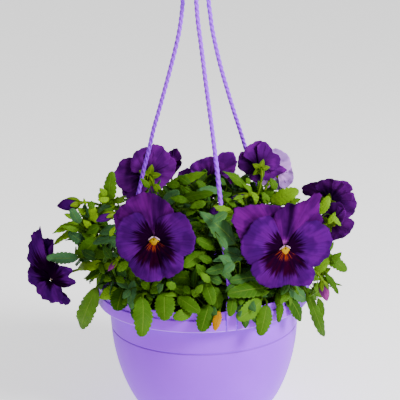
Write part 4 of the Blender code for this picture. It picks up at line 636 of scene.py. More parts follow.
def smoothstep(low, high, value):
    """t^2 (3 - 2 t), with t from 0 at low to 1 at high."""
    t = np.clip((value - low) / (high - low), 0, 1)
    return t * t * (3 - 2 * t)


def placed(name, data):
    """A new object in the scene."""
    obj = bpy.data.objects.new(name, data)
    bpy.context.scene.collection.objects.link(obj)
    return obj


class Skin:
    """Closed surfaces gathered into one mesh, with vector values at their corners for the material.

    Each is a grid of rings. A quad joins four neighbours, and a fan to its middle shuts each end.
    """

    def __init__(self, *grids):
        self.points, self.quads, self.fans, self.values, self.count = [], [], [], [], 0
        for grid in grids:
            self.add(grid)

    def add(self, grid, **values):
        """A grid of rings by corners, with the middles of its end rings, and its values."""
        rows, ring = grid.shape[:2]
        ends = np.stack([grid[0].mean(axis=0), grid[-1].mean(axis=0)])
        self.points.append(np.vstack([grid.reshape(-1, 3), ends]))
        found = {}
        for name, value in values.items():
            value = np.broadcast_to(np.asarray(value, float), (rows, ring, 3))
            tips = np.stack([value[0].mean(axis=0), value[-1].mean(axis=0)])
            found[name] = np.vstack([value.reshape(-1, 3), tips])
        self.values.append(found)
        index = self.count + np.arange(rows * ring).reshape(rows, ring)
        after = np.roll(index, -1, axis=1)
        quads = np.stack([index[:-1], after[:-1], after[1:], index[1:]], axis=2)
        self.quads.append(quads.reshape(-1, 4))
        first, last = self.count + rows * ring, self.count + rows * ring + 1
        low = np.stack([after[0], index[0], np.full(ring, first)], axis=1)
        high = np.stack([index[-1], after[-1], np.full(ring, last)], axis=1)
        self.fans += [low, high]
        self.count += rows * ring + 2

    def mesh(self, name):
        """All the surfaces as one smooth mesh."""
        points = np.vstack(self.points)
        quads, fans = np.vstack(self.quads), np.vstack(self.fans)
        corners = np.concatenate([quads.ravel(), fans.ravel()])
        starts = np.concatenate([np.arange(len(quads)) * 4, quads.size + np.arange(len(fans)) * 3])
        mesh = bpy.data.meshes.new(name)
        mesh.vertices.add(len(points))
        mesh.vertices.foreach_set("co", points.ravel())
        mesh.loops.add(len(corners))
        mesh.loops.foreach_set("vertex_index", corners)
        mesh.polygons.add(len(starts))
        mesh.polygons.foreach_set("loop_start", starts)
        mesh.polygons.foreach_set("use_smooth", np.ones(len(starts), bool))
        mesh.update(calc_edges=True)
        for value in self.values[0]:
            stored = mesh.attributes.new(value, "FLOAT_VECTOR", "POINT")
            stored.data.foreach_set("vector", np.vstack([found[value] for found in self.values]).ravel())
        return mesh

    def piece(self, name, finish, slot, *nodes):
        """The finished object: in one material, riding on the body, in place of the frame's nodes."""
        obj = placed(name, self.mesh(name))
        obj.data.materials.append(finish)
        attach(obj, "root")
        if nodes:
            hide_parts(*nodes)
        return obj

    def tree(self):
        """The surfaces as a search tree that finds what crosses them."""
        points = np.vstack(self.points)
        faces = np.vstack(self.quads).tolist() + np.vstack(self.fans).tolist()
        return BVHTree.FromPolygons(points.tolist(), faces)


# Materials

class Field:
    """A value that varies over a surface. Sums, differences and products of fields make Math nodes."""

    def __init__(self, graph, socket):
        self.graph, self.socket = graph, socket

    def __add__(self, other):
        return self.graph.math("ADD", self, other)

    def __sub__(self, other):
        return self.graph.math("SUBTRACT", self, other)

    def __rsub__(self, other):
        return self.graph.math("SUBTRACT", other, self)

    def __mul__(self, other):
        return self.graph.math("MULTIPLY", self, other)

    def __abs__(self):
        return self.graph.math("ABSOLUTE", self)

    __radd__, __rmul__ = __add__, __mul__


class Graph:
    """Short calls that add nodes to a material or a group. A number, a colour or a field feeds an input."""

    def __init__(self, tree):
        self.tree = tree

    def node(self, kind, inputs=(), **settings):
        """A new node with its settings, and its inputs by name or number."""
        made = self.tree.nodes.new(kind)
        for name, value in settings.items():
            setattr(made, name, value)
        for name, value in dict(inputs).items():
            self.feed(made.inputs[name], value)
        return made

    def feed(self, socket, value):
        """Links a field, sets a number or a colour, and leaves the socket alone for None."""
        if isinstance(value, Field):
            self.tree.links.new(value.socket, socket)
        elif value is not None:
            socket.default_value = value

    def field(self, kind, output, inputs=(), **settings):
        """One output of a new node."""
        return Field(self, self.node(kind, inputs, **settings).outputs[output])

    def math(self, operation, a, b=None):
        """A Math node on one or two values."""
        return self.field("ShaderNodeMath", 0, {0: a, 1: b}, operation=operation)

    def step(self, value, low, high):
        """0 below low and 1 above high, with a smooth rise between. High may be the smaller."""
        return self.field("ShaderNodeMapRange", "Result", {
            "Value": value, "From Min": low, "From Max": high}, interpolation_type="SMOOTHSTEP")

    def mix(self, share, a, b, blend="MIX"):
        """Colour a, which goes over to colour b as the share rises from 0 to 1."""
        a, b = ((*colour, 1) if isinstance(colour, tuple) else colour for colour in (a, b))
        return self.field(
            "ShaderNodeMix", 2, {0: share, 6: a, 7: b}, data_type="RGBA", blend_type=blend, clamp_factor=True)

    def over(self, colour, *layers):
        """Each shade laid over the colour in turn, by its share."""
        for share, shade in layers:
            colour = self.mix(share, colour, shade)
        return colour

    def shaded(self, share, colour, shade):
        """The colour, multiplied by a shade where the share is 1."""
        return self.mix(share, colour, self.mix(1.0, colour, shade, "MULTIPLY"))

    def split(self, vector):
        """A vector's three parts."""
        return [Field(self, part) for part in self.node("ShaderNodeSeparateXYZ", {"Vector": vector}).outputs]

    def join(self, x, y, z):
        """A vector of three parts."""
        return self.field("ShaderNodeCombineXYZ", 0, {"X": x, "Y": y, "Z": z})

    def stored(self, name):
        """The parts of a vector stored at a mesh's corners."""
        return self.split(self.field("ShaderNodeAttribute", "Vector", attribute_name=name))

    def noise(self, vector, scale, detail=2.0, roughness=0.5):
        """Soft noise from 0 to 1."""
        return self.field("ShaderNodeTexNoise", "Fac", {
            "Vector": vector, "Scale": scale, "Detail": detail, "Roughness": roughness})

    def place(self):
        """The place on the object, in metres."""
        return self.field("ShaderNodeTexCoord", "Object")

    def use(self, group, **inputs):
        """A placed group's outputs by name. An underscore in an input's name stands for a space."""
        made = self.node("ShaderNodeGroup", node_tree=group)
        for name, value in inputs.items():
            self.feed(made.inputs[name.replace("_", " ")], value)
        return {output.name: Field(self, output) for output in made.outputs}


def material(name, **constants):
    """A new material with its Principled BSDF. The constants are set straight on its sockets."""
    made = bpy.data.materials.new(name)
    made.use_nodes = True
    shader = made.node_tree.nodes["Principled BSDF"]
    for socket, value in constants.items():
        shader.inputs[socket.replace("_", " ")].default_value = value
    return made, Graph(made.node_tree), shader.inputs


def group(name, inputs, outputs):
    """A new shader group, with number inputs and their values, and outputs and their kinds."""
    made = bpy.data.node_groups.new(name, "ShaderNodeTree")
    for label, value in inputs:
        made.interface.new_socket(label, in_out="INPUT", socket_type="NodeSocketFloat").default_value = value
    for label, kind in outputs:
        made.interface.new_socket(label, in_out="OUTPUT", socket_type=kind)
    graph = Graph(made)
    given = {socket.name: Field(graph, socket) for socket in graph.node("NodeGroupInput").outputs}
    return made, graph, given, graph.node("NodeGroupOutput").inputs


def mottle_group():
    """Soft blotches and a fine grain in object space, each from 0 to 1, and a bumped normal from both."""
    made, g, given, out = group(
        "mottle", [("Blotch Scale", 40.0), ("Grain Scale", 900.0), ("Bump", 0.1), ("Height", 0.0)],
        [("Blotch", "NodeSocketFloat"), ("Grain", "NodeSocketFloat"), ("Normal", "NodeSocketVector")])
    place = g.place()
    blotch = g.noise(place, given["Blotch Scale"], 3.0)
    grain = g.noise(place, given["Grain Scale"], 2.0)
    height = grain * 0.4 + blotch * 0.3 + given["Height"]
    g.feed(out["Blotch"], g.step(blotch, 0.3, 0.7))
    g.feed(out["Grain"], g.step(grain, 0.3, 0.7))
    g.feed(out["Normal"], g.field("ShaderNodeBump", 0, {
        "Strength": given["Bump"], "Distance": BUMP_HEIGHT, "Height": height}))
    return made


def finished(made, g, out, colour, marks, roughness=None):
    """Feeds a material its colour, its mottled normal and, if given, a roughness (least, grain's share)."""
    g.feed(out["Base Color"], colour)
    g.feed(out["Normal"], marks["Normal"])
    if roughness:
        g.feed(out["Roughness"], marks["Grain"] * roughness[1] + roughness[0])
    return made


BUMP_HEIGHT = 0.6 * MM
MOTTLE = mottle_group()

LILAC = (0.33, 0.028, 0.91)
LILAC_DEEP = (0.285, 0.018, 0.84)
LILAC_WORN = (0.38, 0.08, 0.95)
# Painted shade for the recess of the bowl's groove
LILAC_GROOVE_SHADE = (0.17, 0.03, 0.42)
# Painted highlight along the skirt's lower edge
LILAC_EDGE_HIGHLIGHT = (0.44, 0.15, 0.96)

PEAT = (0.012, 0.008, 0.005)
PEAT_CRUMB = (0.045, 0.028, 0.016)
PEAT_FIBRE = (0.2, 0.13, 0.07)

LEAF_YELLOW = (0.082, 0.19, 0.008)
LEAF_GREEN = (0.018, 0.062, 0.002)
LEAF_BLUE = (0.045, 0.13, 0.05)
LEAF_YOUNG = (0.19, 0.36, 0.004)
LEAF_UNDER = (0.05, 0.11, 0.028)
LEAF_OLD = (0.36, 0.16, 0.0)
LEAF_VEIN = (0.12, 0.20, 0.02)
LEAF_STEM = (0.035, 0.075, 0.004)
STALK_GREEN = (0.055, 0.115, 0.004)
STALK_YELLOW = (0.12, 0.20, 0.004)
STALK_RIB = (0.22, 0.32, 0.02)

VIOLET_UPPER = (0.085, 0.0, 0.125)
VIOLET_LOWER = (0.060, 0.0, 0.130)
VIOLET_UNDER = (0.10, 0.001, 0.165)
# Painted light: a lighter copy of the backs' violet, for a flower whose backs face away from the key
PAINTED_LIGHT_UNDER = (0.26, 0.002, 0.44)
PALE_UPPER = (0.70, 0.30, 0.98)
PALE_LOWER = (0.66, 0.25, 0.97)
PALE_UNDER = (0.72, 0.34, 0.98)
FADED_ROSE = (0.22, 0.03, 0.18)
FADED_LOWER = (0.20, 0.03, 0.16)
RAY_VIOLET = (0.02, 0, 0.06)
BLOTCH = (0.006, 0.0, 0.007)
BLOTCH_MAROON = (0.02, 0.0, 0.008)
# Painted shade round the stalk on a flower's back
BACK_HEART_SHADE = (0.008, 0.0, 0.016)
THROAT_RUST = (0.28, 0.035, 0.0)
THROAT_PINK = (0.30, 0.05, 0.32)
BACK_VEIN = (0.45, 0.22, 0.55)
FOLD_SHADE = (0.55, 0.55, 0.62)
# Painted shade down the crease between the upper petals
FOLD_DEEP_SHADE = (0.36, 0.36, 0.45)

EYE_AMBER = (0.33, 0.15, 0.0)
EYE_YELLOW = (0.34, 0.22, 0.0)
# Painted shade in the opening of the mouth
EYE_OPENING_SHADE = (0.10, 0.04, 0.0)
BEARD_WHITE = (0.62, 0.50, 0.50)
BEARD_PINK = (0.26, 0.05, 0.22)


def lilac_plastic():
    """Moulded polypropylene: satin, faintly mottled, a little paler where it has been rubbed.

    A band of heights along the bowl's groove is darker with painted shade, and one along the skirt's lower
    edge is paler with a painted highlight.
    """
    made, g, out = material("moulded lilac plastic", IOR=1.2)
    marks = g.use(MOTTLE, Blotch_Scale=26.0, Grain_Scale=1400.0, Bump=0.05)
    height = g.split(g.place())[2]
    rubbed = g.step(g.noise(g.place(), 210.0, 4.0, 0.7), 0.66, 0.8)
    # painted shade in the groove's recess
    groove = g.step(abs(height - GROOVE_HEIGHT), 0.9 * MM, 0.3 * MM)
    # painted highlight along the skirt's lower edge
    edge = g.step(abs(height - (SKIRT_BOTTOM + 0.5 * MM)), 0.6 * MM, 0.3 * MM)
    colour = g.over(
        LILAC, (marks["Blotch"] * 0.5, LILAC_DEEP), (rubbed * 0.25, LILAC_WORN), (groove * 0.6, LILAC_GROOVE_SHADE),
        (edge, LILAC_EDGE_HIGHLIGHT))
    return finished(made, g, out, colour, marks, (0.34, 0.14))


def potting_mix():
    """Moist peat: nearly black crumbs, with a few tan fibres and pale grains."""
    made, g, out = material("potting mix", Roughness=0.95, Specular_IOR_Level=0.2)
    marks = g.use(MOTTLE, Blotch_Scale=160.0, Grain_Scale=1100.0, Bump=0.9)
    fibre = g.step(g.noise(g.place(), 620.0), 0.68, 0.74)
    colour = g.over(PEAT, (marks["Blotch"], PEAT_CRUMB), (fibre * 0.7, PEAT_FIBRE))
    return finished(made, g, out, colour, marks)


def leaf_finish():
    """A crenate blade: green by age, with a pale midrib, side veins that slant to the margin, and a
    paler matt underside. The stored vector spot is (across, along, side) and tint is (green, stem, 0)."""
    made, g, out = material("pansy leaf", IOR=1.12)
    across, along, side = g.stored("spot")
    green, stem = g.stored("tint")[:2]
    away = abs(across)
    line = along - away * 0.17 + g.noise(g.place(), 220.0) * 0.06
    side_vein = g.step(g.math("PINGPONG", line * 7.0, 0.5), 0.09, 0.0) * g.step(away, 1.0, 0.75)
    vein = g.math("MAXIMUM", g.step(away, 0.09, 0.03), side_vein * 0.6)
    marks = g.use(MOTTLE, Blotch_Scale=90.0, Grain_Scale=1500.0, Bump=0.8, Height=0.5 - vein * 0.5)
    colour = g.over(
        LEAF_BLUE, (g.step(green, 0.0, 0.45), LEAF_GREEN), (g.step(green, 0.35, 1.0), LEAF_YELLOW),
        (marks["Blotch"] * 0.35, LEAF_GREEN), (g.step(away, 0.75, 1.0) * 0.35, LEAF_YELLOW),
        (vein * 0.45, LEAF_VEIN), (g.step(side, 0.52, 0.48) * 0.6, LEAF_UNDER),
        (g.step(green, 0.85, 1.15), LEAF_YOUNG), (g.step(green, 1.3, 1.5), LEAF_OLD), (stem, LEAF_STEM))
    return finished(made, g, out, colour, marks, (0.42, 0.2))


def stalk_finish():
    """Flower stalks and sepals: yellow-green, paler along the ribs."""
    made, g, out = material("pansy stalk", Roughness=0.5, IOR=1.12)
    rib = g.step(abs(g.stored("spot")[0]), 0.16, 0.04)
    marks = g.use(MOTTLE, Blotch_Scale=120.0, Grain_Scale=1500.0, Bump=0.3)
    colour = g.over(STALK_GREEN, (marks["Blotch"], STALK_YELLOW), (rib * 0.4, STALK_RIB))
    return finished(made, g, out, colour, marks)


def petal_finish(name, upper, lower, under, blotch_depth, veining):
    """A pansy's petals. The stored vector face is (right mm, up mm, kind), with kind 0 for the upper
    petals, 1 for the laterals and 2 for the lowest, and spot is (across, out, side).

    Feathered dark blotches run out along rays on the laterals and furthest on the lowest petal, which
    turns maroon in parts and rusty at its throat. The upper petals are pinker at the throat, with painted
    shade down the crease between them. The back is veined with painted shade round the stalk, and soft
    folds shade it all.
    """
    made, g, out = material(name, IOR=1.0)
    right, up, kind = g.stored("face")
    side = g.stored("spot")[2]
    lowest = g.step(kind, 1.4, 1.6)
    lateral = g.step(kind, 0.4, 0.6) - lowest
    below = g.math("MAXIMUM", lateral, lowest)
    reach = g.math("SQRT", right * right + up * up)
    angle = g.math("ARCTAN2", right, up)
    rays = g.noise(g.join(angle * 6.0, reach * 0.03, kind), 1.0, 3.0, 0.65)
    fine = g.noise(g.join(angle * 18.0, reach * 0.04, kind), 1.0)
    marks = g.use(MOTTLE, Blotch_Scale=70.0, Grain_Scale=2200.0, Bump=0.12, Height=fine * 1.5)
    feathered = lateral * 17.0 + lowest * 25.0 + (rays - 0.5) * 22.0 + (fine - 0.5) * 16.0
    dark = g.step(reach - feathered, 4.5, -4.0)
    rust = g.step(reach, 13.0, 7.5) * g.step(fine, 0.54, 0.60) * lowest
    # painted shade down the crease between the upper petals
    fold_shade = g.step(abs(right - 3.0) + rays * 12.0, 17.0, 9.0) * (1.0 - below) * g.step(reach, 8.0, 13.0)
    # painted shade round the stalk on the back, deeper where the blotch is deeper
    heart_shade = g.step(reach + rays * 12.0, 30.0, 16.0) * blotch_depth
    colour = g.mix(below, upper, lower)
    colour = g.over(
        colour, (g.step(fine, 0.42, 0.62), g.mix(0.32, colour, RAY_VIOLET)), (marks["Blotch"] * 0.3, upper),
        (dark * blotch_depth, BLOTCH),
        (dark * lowest * g.step(rays, 0.45, 0.6) * (0.6 * blotch_depth), BLOTCH_MAROON),
        (rust, THROAT_RUST), (g.step(reach, 9.0, 5.0) * (1.0 - below) * 0.8, THROAT_PINK))
    back = g.mix(g.step(fine, 0.48, 0.58) * veining, under, g.mix(0.5, under, BACK_VEIN))
    back = g.mix(heart_shade * 0.85, back, BACK_HEART_SHADE)
    colour = g.mix(g.step(side, 0.52, 0.48), g.shaded(fold_shade * 0.9, colour, FOLD_DEEP_SHADE), back)
    colour = g.shaded(g.step(g.noise(g.place(), 57.0), 0.58, 0.42), colour, FOLD_SHADE)
    return finished(made, g, out, colour, marks, (0.55, 0.2))


def eye_finish():
    """The mouth is yellow with painted shade in its opening near its top; the ridges above it are white
    turning pink.

    The stored vector spot is (right mm, up mm, ridge), with ridge 1 on the ridges and 0 on the mouth.
    """
    made, g, out = material("pansy eye", Roughness=0.6, IOR=1.05)
    right, up, ridge = g.stored("spot")
    high = up - 0.2
    away = g.math("SQRT", right * right + high * high)
    marks = g.use(MOTTLE, Blotch_Scale=900.0, Grain_Scale=3000.0, Bump=0.5)
    beard = g.mix(marks["Blotch"], BEARD_WHITE, BEARD_PINK)
    # the dark spot near the top is painted shade in the mouth's opening
    colour = g.over(
        EYE_AMBER, (g.step(up, -5.0, 0.5), EYE_YELLOW), (g.step(away, 1.3, 0.5), EYE_OPENING_SHADE), (ridge, beard))
    return finished(made, g, out, colour, marks)


PLASTIC = lilac_plastic()
SOIL = potting_mix()
LEAF = leaf_finish()
STALK = stalk_finish()
VIOLET = petal_finish("violet pansy petal", VIOLET_UPPER, VIOLET_LOWER, VIOLET_UNDER, 0.98, 0.04)
# Petals whose backs are painted lighter, as painted light on a flower facing away from the key
PAINTED_LIGHT_VIOLET = petal_finish("violet pansy petal with painted light on its back", VIOLET_UPPER, VIOLET_LOWER, PAINTED_LIGHT_UNDER, 0.98, 0.04)
PALE = petal_finish("pale pansy petal", PALE_UPPER, PALE_LOWER, PALE_UNDER, 0.2, 0.12)
FADED = petal_finish("faded pansy petal", FADED_ROSE, FADED_LOWER, FADED_ROSE, 0.3, 0.5)
EYE = eye_finish()


# Pot and soil

def bowl_radius(share):
    """The bowl's outer radius at a share of the way down from the groove to the base."""
    return BASE_RADIUS + (GROOVE_RADIUS - BASE_RADIUS) * (1 - share**BOWL_FALL) ** (1 / BOWL_ROUNDNESS)


def bowl_curve(steps, inset, floor):
    """The bowl's side from the base up to the groove, as radius and height."""
    share = np.sin(np.linspace(np.pi / 2, 0, steps))
    curve = np.stack([bowl_radius(share) - inset, GROOVE_HEIGHT * (1 - share)], axis=1)
    return curve[curve[:, 1] > floor]


def cut(obj, cutters):
    """Takes closed cutter meshes out of an object and leaves its mesh plain."""
    for cutter in cutters:
        boolean = obj.modifiers.new("cut", "BOOLEAN")
        boolean.object = cutter
        boolean.solver = "EXACT"
    done = bpy.data.meshes.new_from_object(obj.evaluated_get(bpy.context.evaluated_depsgraph_get()))
    obj.modifiers.clear()
    obj.data = done
    for cutter in cutters:
        bpy.data.objects.remove(cutter, do_unlink=True)


def block(turn, inner, outer, width, bottom, top):
    """A block across the rim at a turn, as two rings of four corners."""
    out = np.array(around(turn, 1, 0))
    half = np.cross((0, 0, 1), out) * width / 2
    low, high = out * inner, out * outer
    ring = np.stack([low - half, high - half, high + half, low + half])
    return np.stack([ring + (0, 0, bottom), ring + (0, 0, top)])


def cutter_of(grid):
    """A plain object in the shape of a grid, to be taken out of another."""
    return placed("cutter", Skin(grid).mesh("cutter"))


def pot_profile():
    """Half of the pot's section: from the base up the outside, over the rim and down the inside."""
    collar, inside = RIM_RADIUS - STEP_IN, NECK_RADIUS - WALL
    groove_floor = GROOVE_RADIUS - GROOVE_DEPTH
    outside = rounded([
        (0, 0), (30 * MM, 0), (BASE_RADIUS - 1 * MM, 0), (bowl_radius(0.985), GROOVE_HEIGHT * 0.015),
    ], 1.2 * MM)[:-1]
    groove = [
        (GROOVE_RADIUS, GROOVE_HEIGHT), (groove_floor, GROOVE_HEIGHT + 0.5 * MM),
        (groove_floor, GROOVE_HEIGHT + 1.3 * MM), (GROOVE_RADIUS + 0.3 * MM, GROOVE_HEIGHT + 1.9 * MM),
    ]
    rim = rounded([
        groove[-1], (NECK_RADIUS, SKIRT_BOTTOM), (NECK_RADIUS + WALL, LEDGE_BOTTOM),
        (RIM_RADIUS - WALL, LEDGE_BOTTOM), (RIM_RADIUS - WALL, SKIRT_BOTTOM), (RIM_RADIUS, SKIRT_BOTTOM),
        (RIM_RADIUS, STEP_HEIGHT - 0.6 * MM), (collar, STEP_HEIGHT), (collar, RIM_TOP),
        (collar - WALL, RIM_TOP), (collar - WALL, LEDGE_TOP), (NECK_RADIUS, LEDGE_TOP),
        (inside, SKIRT_BOTTOM), (inside - 2 * MM, 70 * MM),
    ], 0.7 * MM, 5)[1:-1]
    floor = [(BASE_RADIUS - WALL, FLOOR), (0, FLOOR)]
    profile = np.vstack([
        outside, bowl_curve(40, 0, 1.4 * MM), groove, rim, bowl_curve(30, WALL, FLOOR)[::-1], floor])
    keep = np.ones(len(profile), bool)
    keep[1:] = np.linalg.norm(np.diff(profile, axis=0), axis=1) > SAME_CORNER
    return profile[keep]


def make_pot():
    """The bowl, turned from its profile, then its drain holes and clip slots."""
    skin = Skin(turned(pot_profile()[1:-1], 180))
    pot = skin.piece("moulded_pot", PLASTIC, "lilac_plastic", "pot")
    holes = []
    for k in range(DRAIN_HOLES):
        middle = around(360 / DRAIN_HOLES * (k + 0.5), DRAIN_CIRCLE, 0)
        path = np.array([middle + Vector((0, 0, z)) for z in (-4 * MM, 3 * MM, 9 * MM)])
        holes.append(cutter_of(tube(path, DRAIN_RADIUS, 32, (1, 0, 0))))
    for turn in CLIP_TURNS:
        holes.append(cutter_of(block(
            turn, RIM_RADIUS - CLIP_THICK - GAP, RIM_RADIUS + 4 * MM, CLIP_WIDTH + 2 * CLIP_PLAY,
            SKIRT_BOTTOM - 4 * MM, RIM_TOP + 4 * MM)))
    cut(pot, holes)
    pot.data.set_sharp_from_angle(angle=math.radians(40))
    return skin


def make_soil():
    """Crumbly soil: the frame's own heights with lumps from many crossed waves, and loose crumbs on top.

    The lumps are the sum of cos(x a + y b + phase) over the waves, over the root of their number, and
    fade towards the wall. A crumb is four rings of six corners on a stretched ball.
    """
    chance = np.random.default_rng(SEED)
    radii = np.concatenate([np.linspace(0.4, 91.6, 60), [91.8]]) * MM
    grid = turned([(r, 0) for r in radii[::-1]], 150)
    x, y = grid[..., 0], grid[..., 1]
    waves = chance.normal(0, 420, (SOIL_WAVES, 2))
    phase = chance.uniform(0, 2 * np.pi, SOIL_WAVES)
    lumps = np.cos(x[..., None] * waves[:, 0] + y[..., None] * waves[:, 1] + phase).sum(axis=2)
    lumps = lumps / SOIL_WAVES**0.5 * smoothstep(92 * MM, 84 * MM, np.hypot(x, y))
    grid[..., 2] = soil_height(x, y) - 1.3 * MM + SOIL_LUMP * lumps
    wall = turned([(60 * MM, 60 * MM), (91.8 * MM, 100 * MM)], 150)
    skin = Skin(np.concatenate([wall, grid]))
    angle = ring_angles(6)
    rise = np.array([-0.8, -0.2, 0.5, 0.9])[:, None]
    for _ in range(CRUMBS):
        turn, radius = chance.uniform(0, 2 * np.pi), 88 * MM * math.sqrt(chance.random())
        centre = np.array([radius * math.sin(turn), radius * math.cos(turn), 0])
        centre[2] = soil_height(*centre[:2]) - 0.6 * MM
        size = chance.uniform(*CRUMB_SIZES)
        stretch = chance.uniform(0.6, 1.3, 3)
        wide = np.sqrt(1 - rise**2) * chance.uniform(0.8, 1.2, (4, 6))
        lump = layered(wide * np.cos(angle), wide * np.sin(angle), rise)
        skin.add(centre + lump * size * stretch)
    skin.piece("crumbly_soil", SOIL, "soil", "soil")
    return skin


# Hanger

def leg_path(sights, turn, count):
    """A leg's centre line: straight up into the hub, down its sighted points and into its clip."""
    points = [seen(*sight) for sight in sights]
    top = points[0].copy()
    top.z = HUB_BOTTOM + HUB_THICK / 2
    middle = RIM_RADIUS - CLIP_THICK / 2
    foot = around(turn, middle, CLIP_TOP - 3 * MM)
    near = points[-1].lerp(around(turn, middle, CLIP_TOP + 3 * MM), 0.55)
    return through([top, *points, near, foot], count)


def twisted_leg(path):
    """A moulded rope of three strands that turns with its length, plain and wider just under the hub.

    Seen end on, a strand of radius a lies d from the middle, so the outline at an angle f from it is
    d cos f + sqrt(a^2 - d^2 sin^2 f).
    """
    angle = ring_angles(27)
    run = np.concatenate([[0], np.cumsum(np.linalg.norm(np.diff(path, axis=0), axis=1))])
    flare = np.clip(1 - (HUB_BOTTOM + 1 * MM - path[:, 2]) / (4 * MM), 0, 1)[:, None] ** 2
    turn = angle + run[:, None] / TWIST_PITCH * 2 * np.pi
    third = 2 * np.pi / TWIST_STRANDS
    off = np.mod(turn, third) - third / 2
    strand = TWIST_OFFSET * np.cos(off)
    strand = strand + np.sqrt(TWIST_STRAND**2 - TWIST_OFFSET**2 * np.sin(off) ** 2)
    left = run[-1] - run
    plain = np.maximum(smoothstep(6 * MM, 2 * MM, run), smoothstep(7 * MM, 3 * MM, left))[:, None]
    radius = LEG_RADIUS * (strand * (1 - plain) + plain) * (1 + 0.9 * flare)
    return sweep(path, (0, 1, 0.05), radius * np.cos(angle), radius * np.sin(angle))


def clip_grid(turn):
    """A clip's tab: a squared section, flat and wide over the rim, that narrows and rounds into the leg.

    The section is (cos angle, sin angle), each raised to a small power with its sign kept.
    """
    out = np.array(around(turn, 1, 0))
    across = np.cross((0, 0, 1), out)
    height = np.concatenate([
        CLIP_BOTTOM + np.array([0, 0.25, 0.7, 1.5]) * MM,
        np.linspace(CLIP_BOTTOM + 3 * MM, CLIP_TOP - 3 * MM, 14),
        np.linspace(CLIP_TOP - 2.6 * MM, CLIP_TOP + 2 * MM, 14)])
    shrink = smoothstep(CLIP_TOP - 3 * MM, CLIP_TOP + 2 * MM, height)
    half = (CLIP_WIDTH / 2 - CLIP_PLAY) * (1 - shrink) + LEG_RADIUS * 0.7 * shrink
    thick = CLIP_THICK / 2 * (1 - 0.1 * shrink)
    ends = np.interp(height, [CLIP_BOTTOM, CLIP_BOTTOM + 0.7 * MM], [0.82, 1])
    angle = ring_angles(40)
    x, y = (np.sign(wave) * np.abs(wave) ** CLIP_SQUARE for wave in (np.cos(angle), np.sin(angle)))
    path = out * (RIM_RADIUS - CLIP_THICK / 2) + np.outer(height, (0, 0, 1))
    return sweep(path, across, (half * ends)[:, None] * x, (thick * ends)[:, None] * y)


def hanger_piece(name, *grids):
    """One shape of the hanger's moulding, with its object."""
    skin = Skin(*grids)
    return skin, skin.piece(f"hanger_{name}", PLASTIC, "lilac_plastic", "hanger")


def make_hanger():
    """One moulding shown in pieces that run into each other: legs, clips with barbs, hub and hook."""
    shapes = []
    for number, (sights, turn) in enumerate(zip(LEG_SIGHTS, CLIP_TURNS), 1):
        leg, _ = hanger_piece(f"leg_{number}", twisted_leg(leg_path(sights, turn, 380)))
        barb = block(
            turn, BARB_REACH, RIM_RADIUS - CLIP_THICK / 2, CLIP_WIDTH - 2 * MM,
            BARB_BOTTOM, LEDGE_BOTTOM - GAP)
        clip, tab = hanger_piece(f"clip_{number}", clip_grid(turn), barb)
        tab.data.set_sharp_from_angle(angle=math.radians(50))
        shapes += [leg, clip]
    hub_top = HUB_BOTTOM + HUB_THICK
    profile = rounded([
        (0, HUB_BOTTOM), (HUB_RADIUS - 1.2 * MM, HUB_BOTTOM), (HUB_RADIUS, HUB_BOTTOM + HUB_THICK / 2),
        (HUB_RADIUS - 1.5 * MM, hub_top), (8 * MM, hub_top + 0.8 * MM), (4.2 * MM, hub_top + 6 * MM),
        (3.4 * MM, NECK_TOP), (0, NECK_TOP),
    ], 1.6 * MM, 6)
    hub, _ = hanger_piece("hub", turned(profile[1:-1], 72))
    angle = np.radians(np.linspace(*HOOK_TURNS, 70))
    ring = np.stack([np.cos(angle), 0 * angle, np.sin(angle)], axis=1) * HOOK_RADIUS + (0, 0, HOOK_CENTRE)
    neck = bezier([(0, 0, NECK_TOP - 4 * MM), (0, 0, NECK_TOP), (0, 0, NECK_TOP + 3 * MM), ring[0]], 12)
    path = np.vstack([neck[:-1], ring])
    radius = np.full(len(path), HOOK_THICK)
    radius[-6:] *= np.sqrt(1 - np.array([0.05, 0.2, 0.4, 0.62, 0.82, 0.97]) ** 2)
    hook, _ = hanger_piece("hook", tube(path, radius, 28, (0, 1, 0)))
    return shapes + [hub, hook]


# Flowers

def facing(turn, tilt, roll):
    """A flower's own axes as columns: right, up and the way it faces. Turn 0 faces the viewer."""
    look = around(turn, 1, 0) * math.cos(math.radians(tilt)) + Vector((0, 0, math.sin(math.radians(tilt))))
    right = Vector((0, 0, 1)).cross(look).normalized()
    up = look.cross(right)
    spin = Matrix.Rotation(math.radians(-roll), 3, look)
    return Matrix((spin @ right, spin @ up, look)).transposed()


def rim_spot(eye, axes, across, down, lift):
    """Where a sight line meets the flower's plane raised by lift, in the flower's own axes and in mm."""
    start, line = sight_line(across, down)
    look = axes.col[2]
    place = start + line * ((lift * MM - (start - eye).dot(look)) / line.dot(look))
    return axes.transposed() @ (place - eye) / MM


def fan_rim(petal, size, share):
    """The rim of a plain petal: reach (sin, cos) of half angle * share, with reach sqrt(1 - |share|^3.2)."""
    turn, length, half_angle, lean, level = petal
    reach = np.sqrt(1 - np.abs(share) ** 3.2) * length * size
    angle = np.radians(turn + half_angle * share)
    rise = reach * np.cos(np.radians(half_angle * share)) * math.tan(math.radians(lean))
    rise = rise + level * size + length * size * 0.045 * np.sin(share * 7.5 + turn)
    return np.stack([reach * np.sin(angle), reach * np.cos(angle), rise], axis=1)


def petal_rim(petal, size, eye, axes, share):
    """A petal's rim as points in mm, clockwise from its front, with its foot's height and its bulge."""
    if len(petal) == 5:
        return fan_rim(petal, size, share), petal[4] * size, 0
    level, bulge, sights = petal
    rim = through([rim_spot(eye, axes, *sight) for sight in sights], len(share))
    x, y = rim[:, 0], rim[:, 1]
    if np.sum(x[:-1] * y[1:] - x[1:] * y[:-1]) > 0:
        rim = rim[::-1]
    return rim, level * size, bulge * size


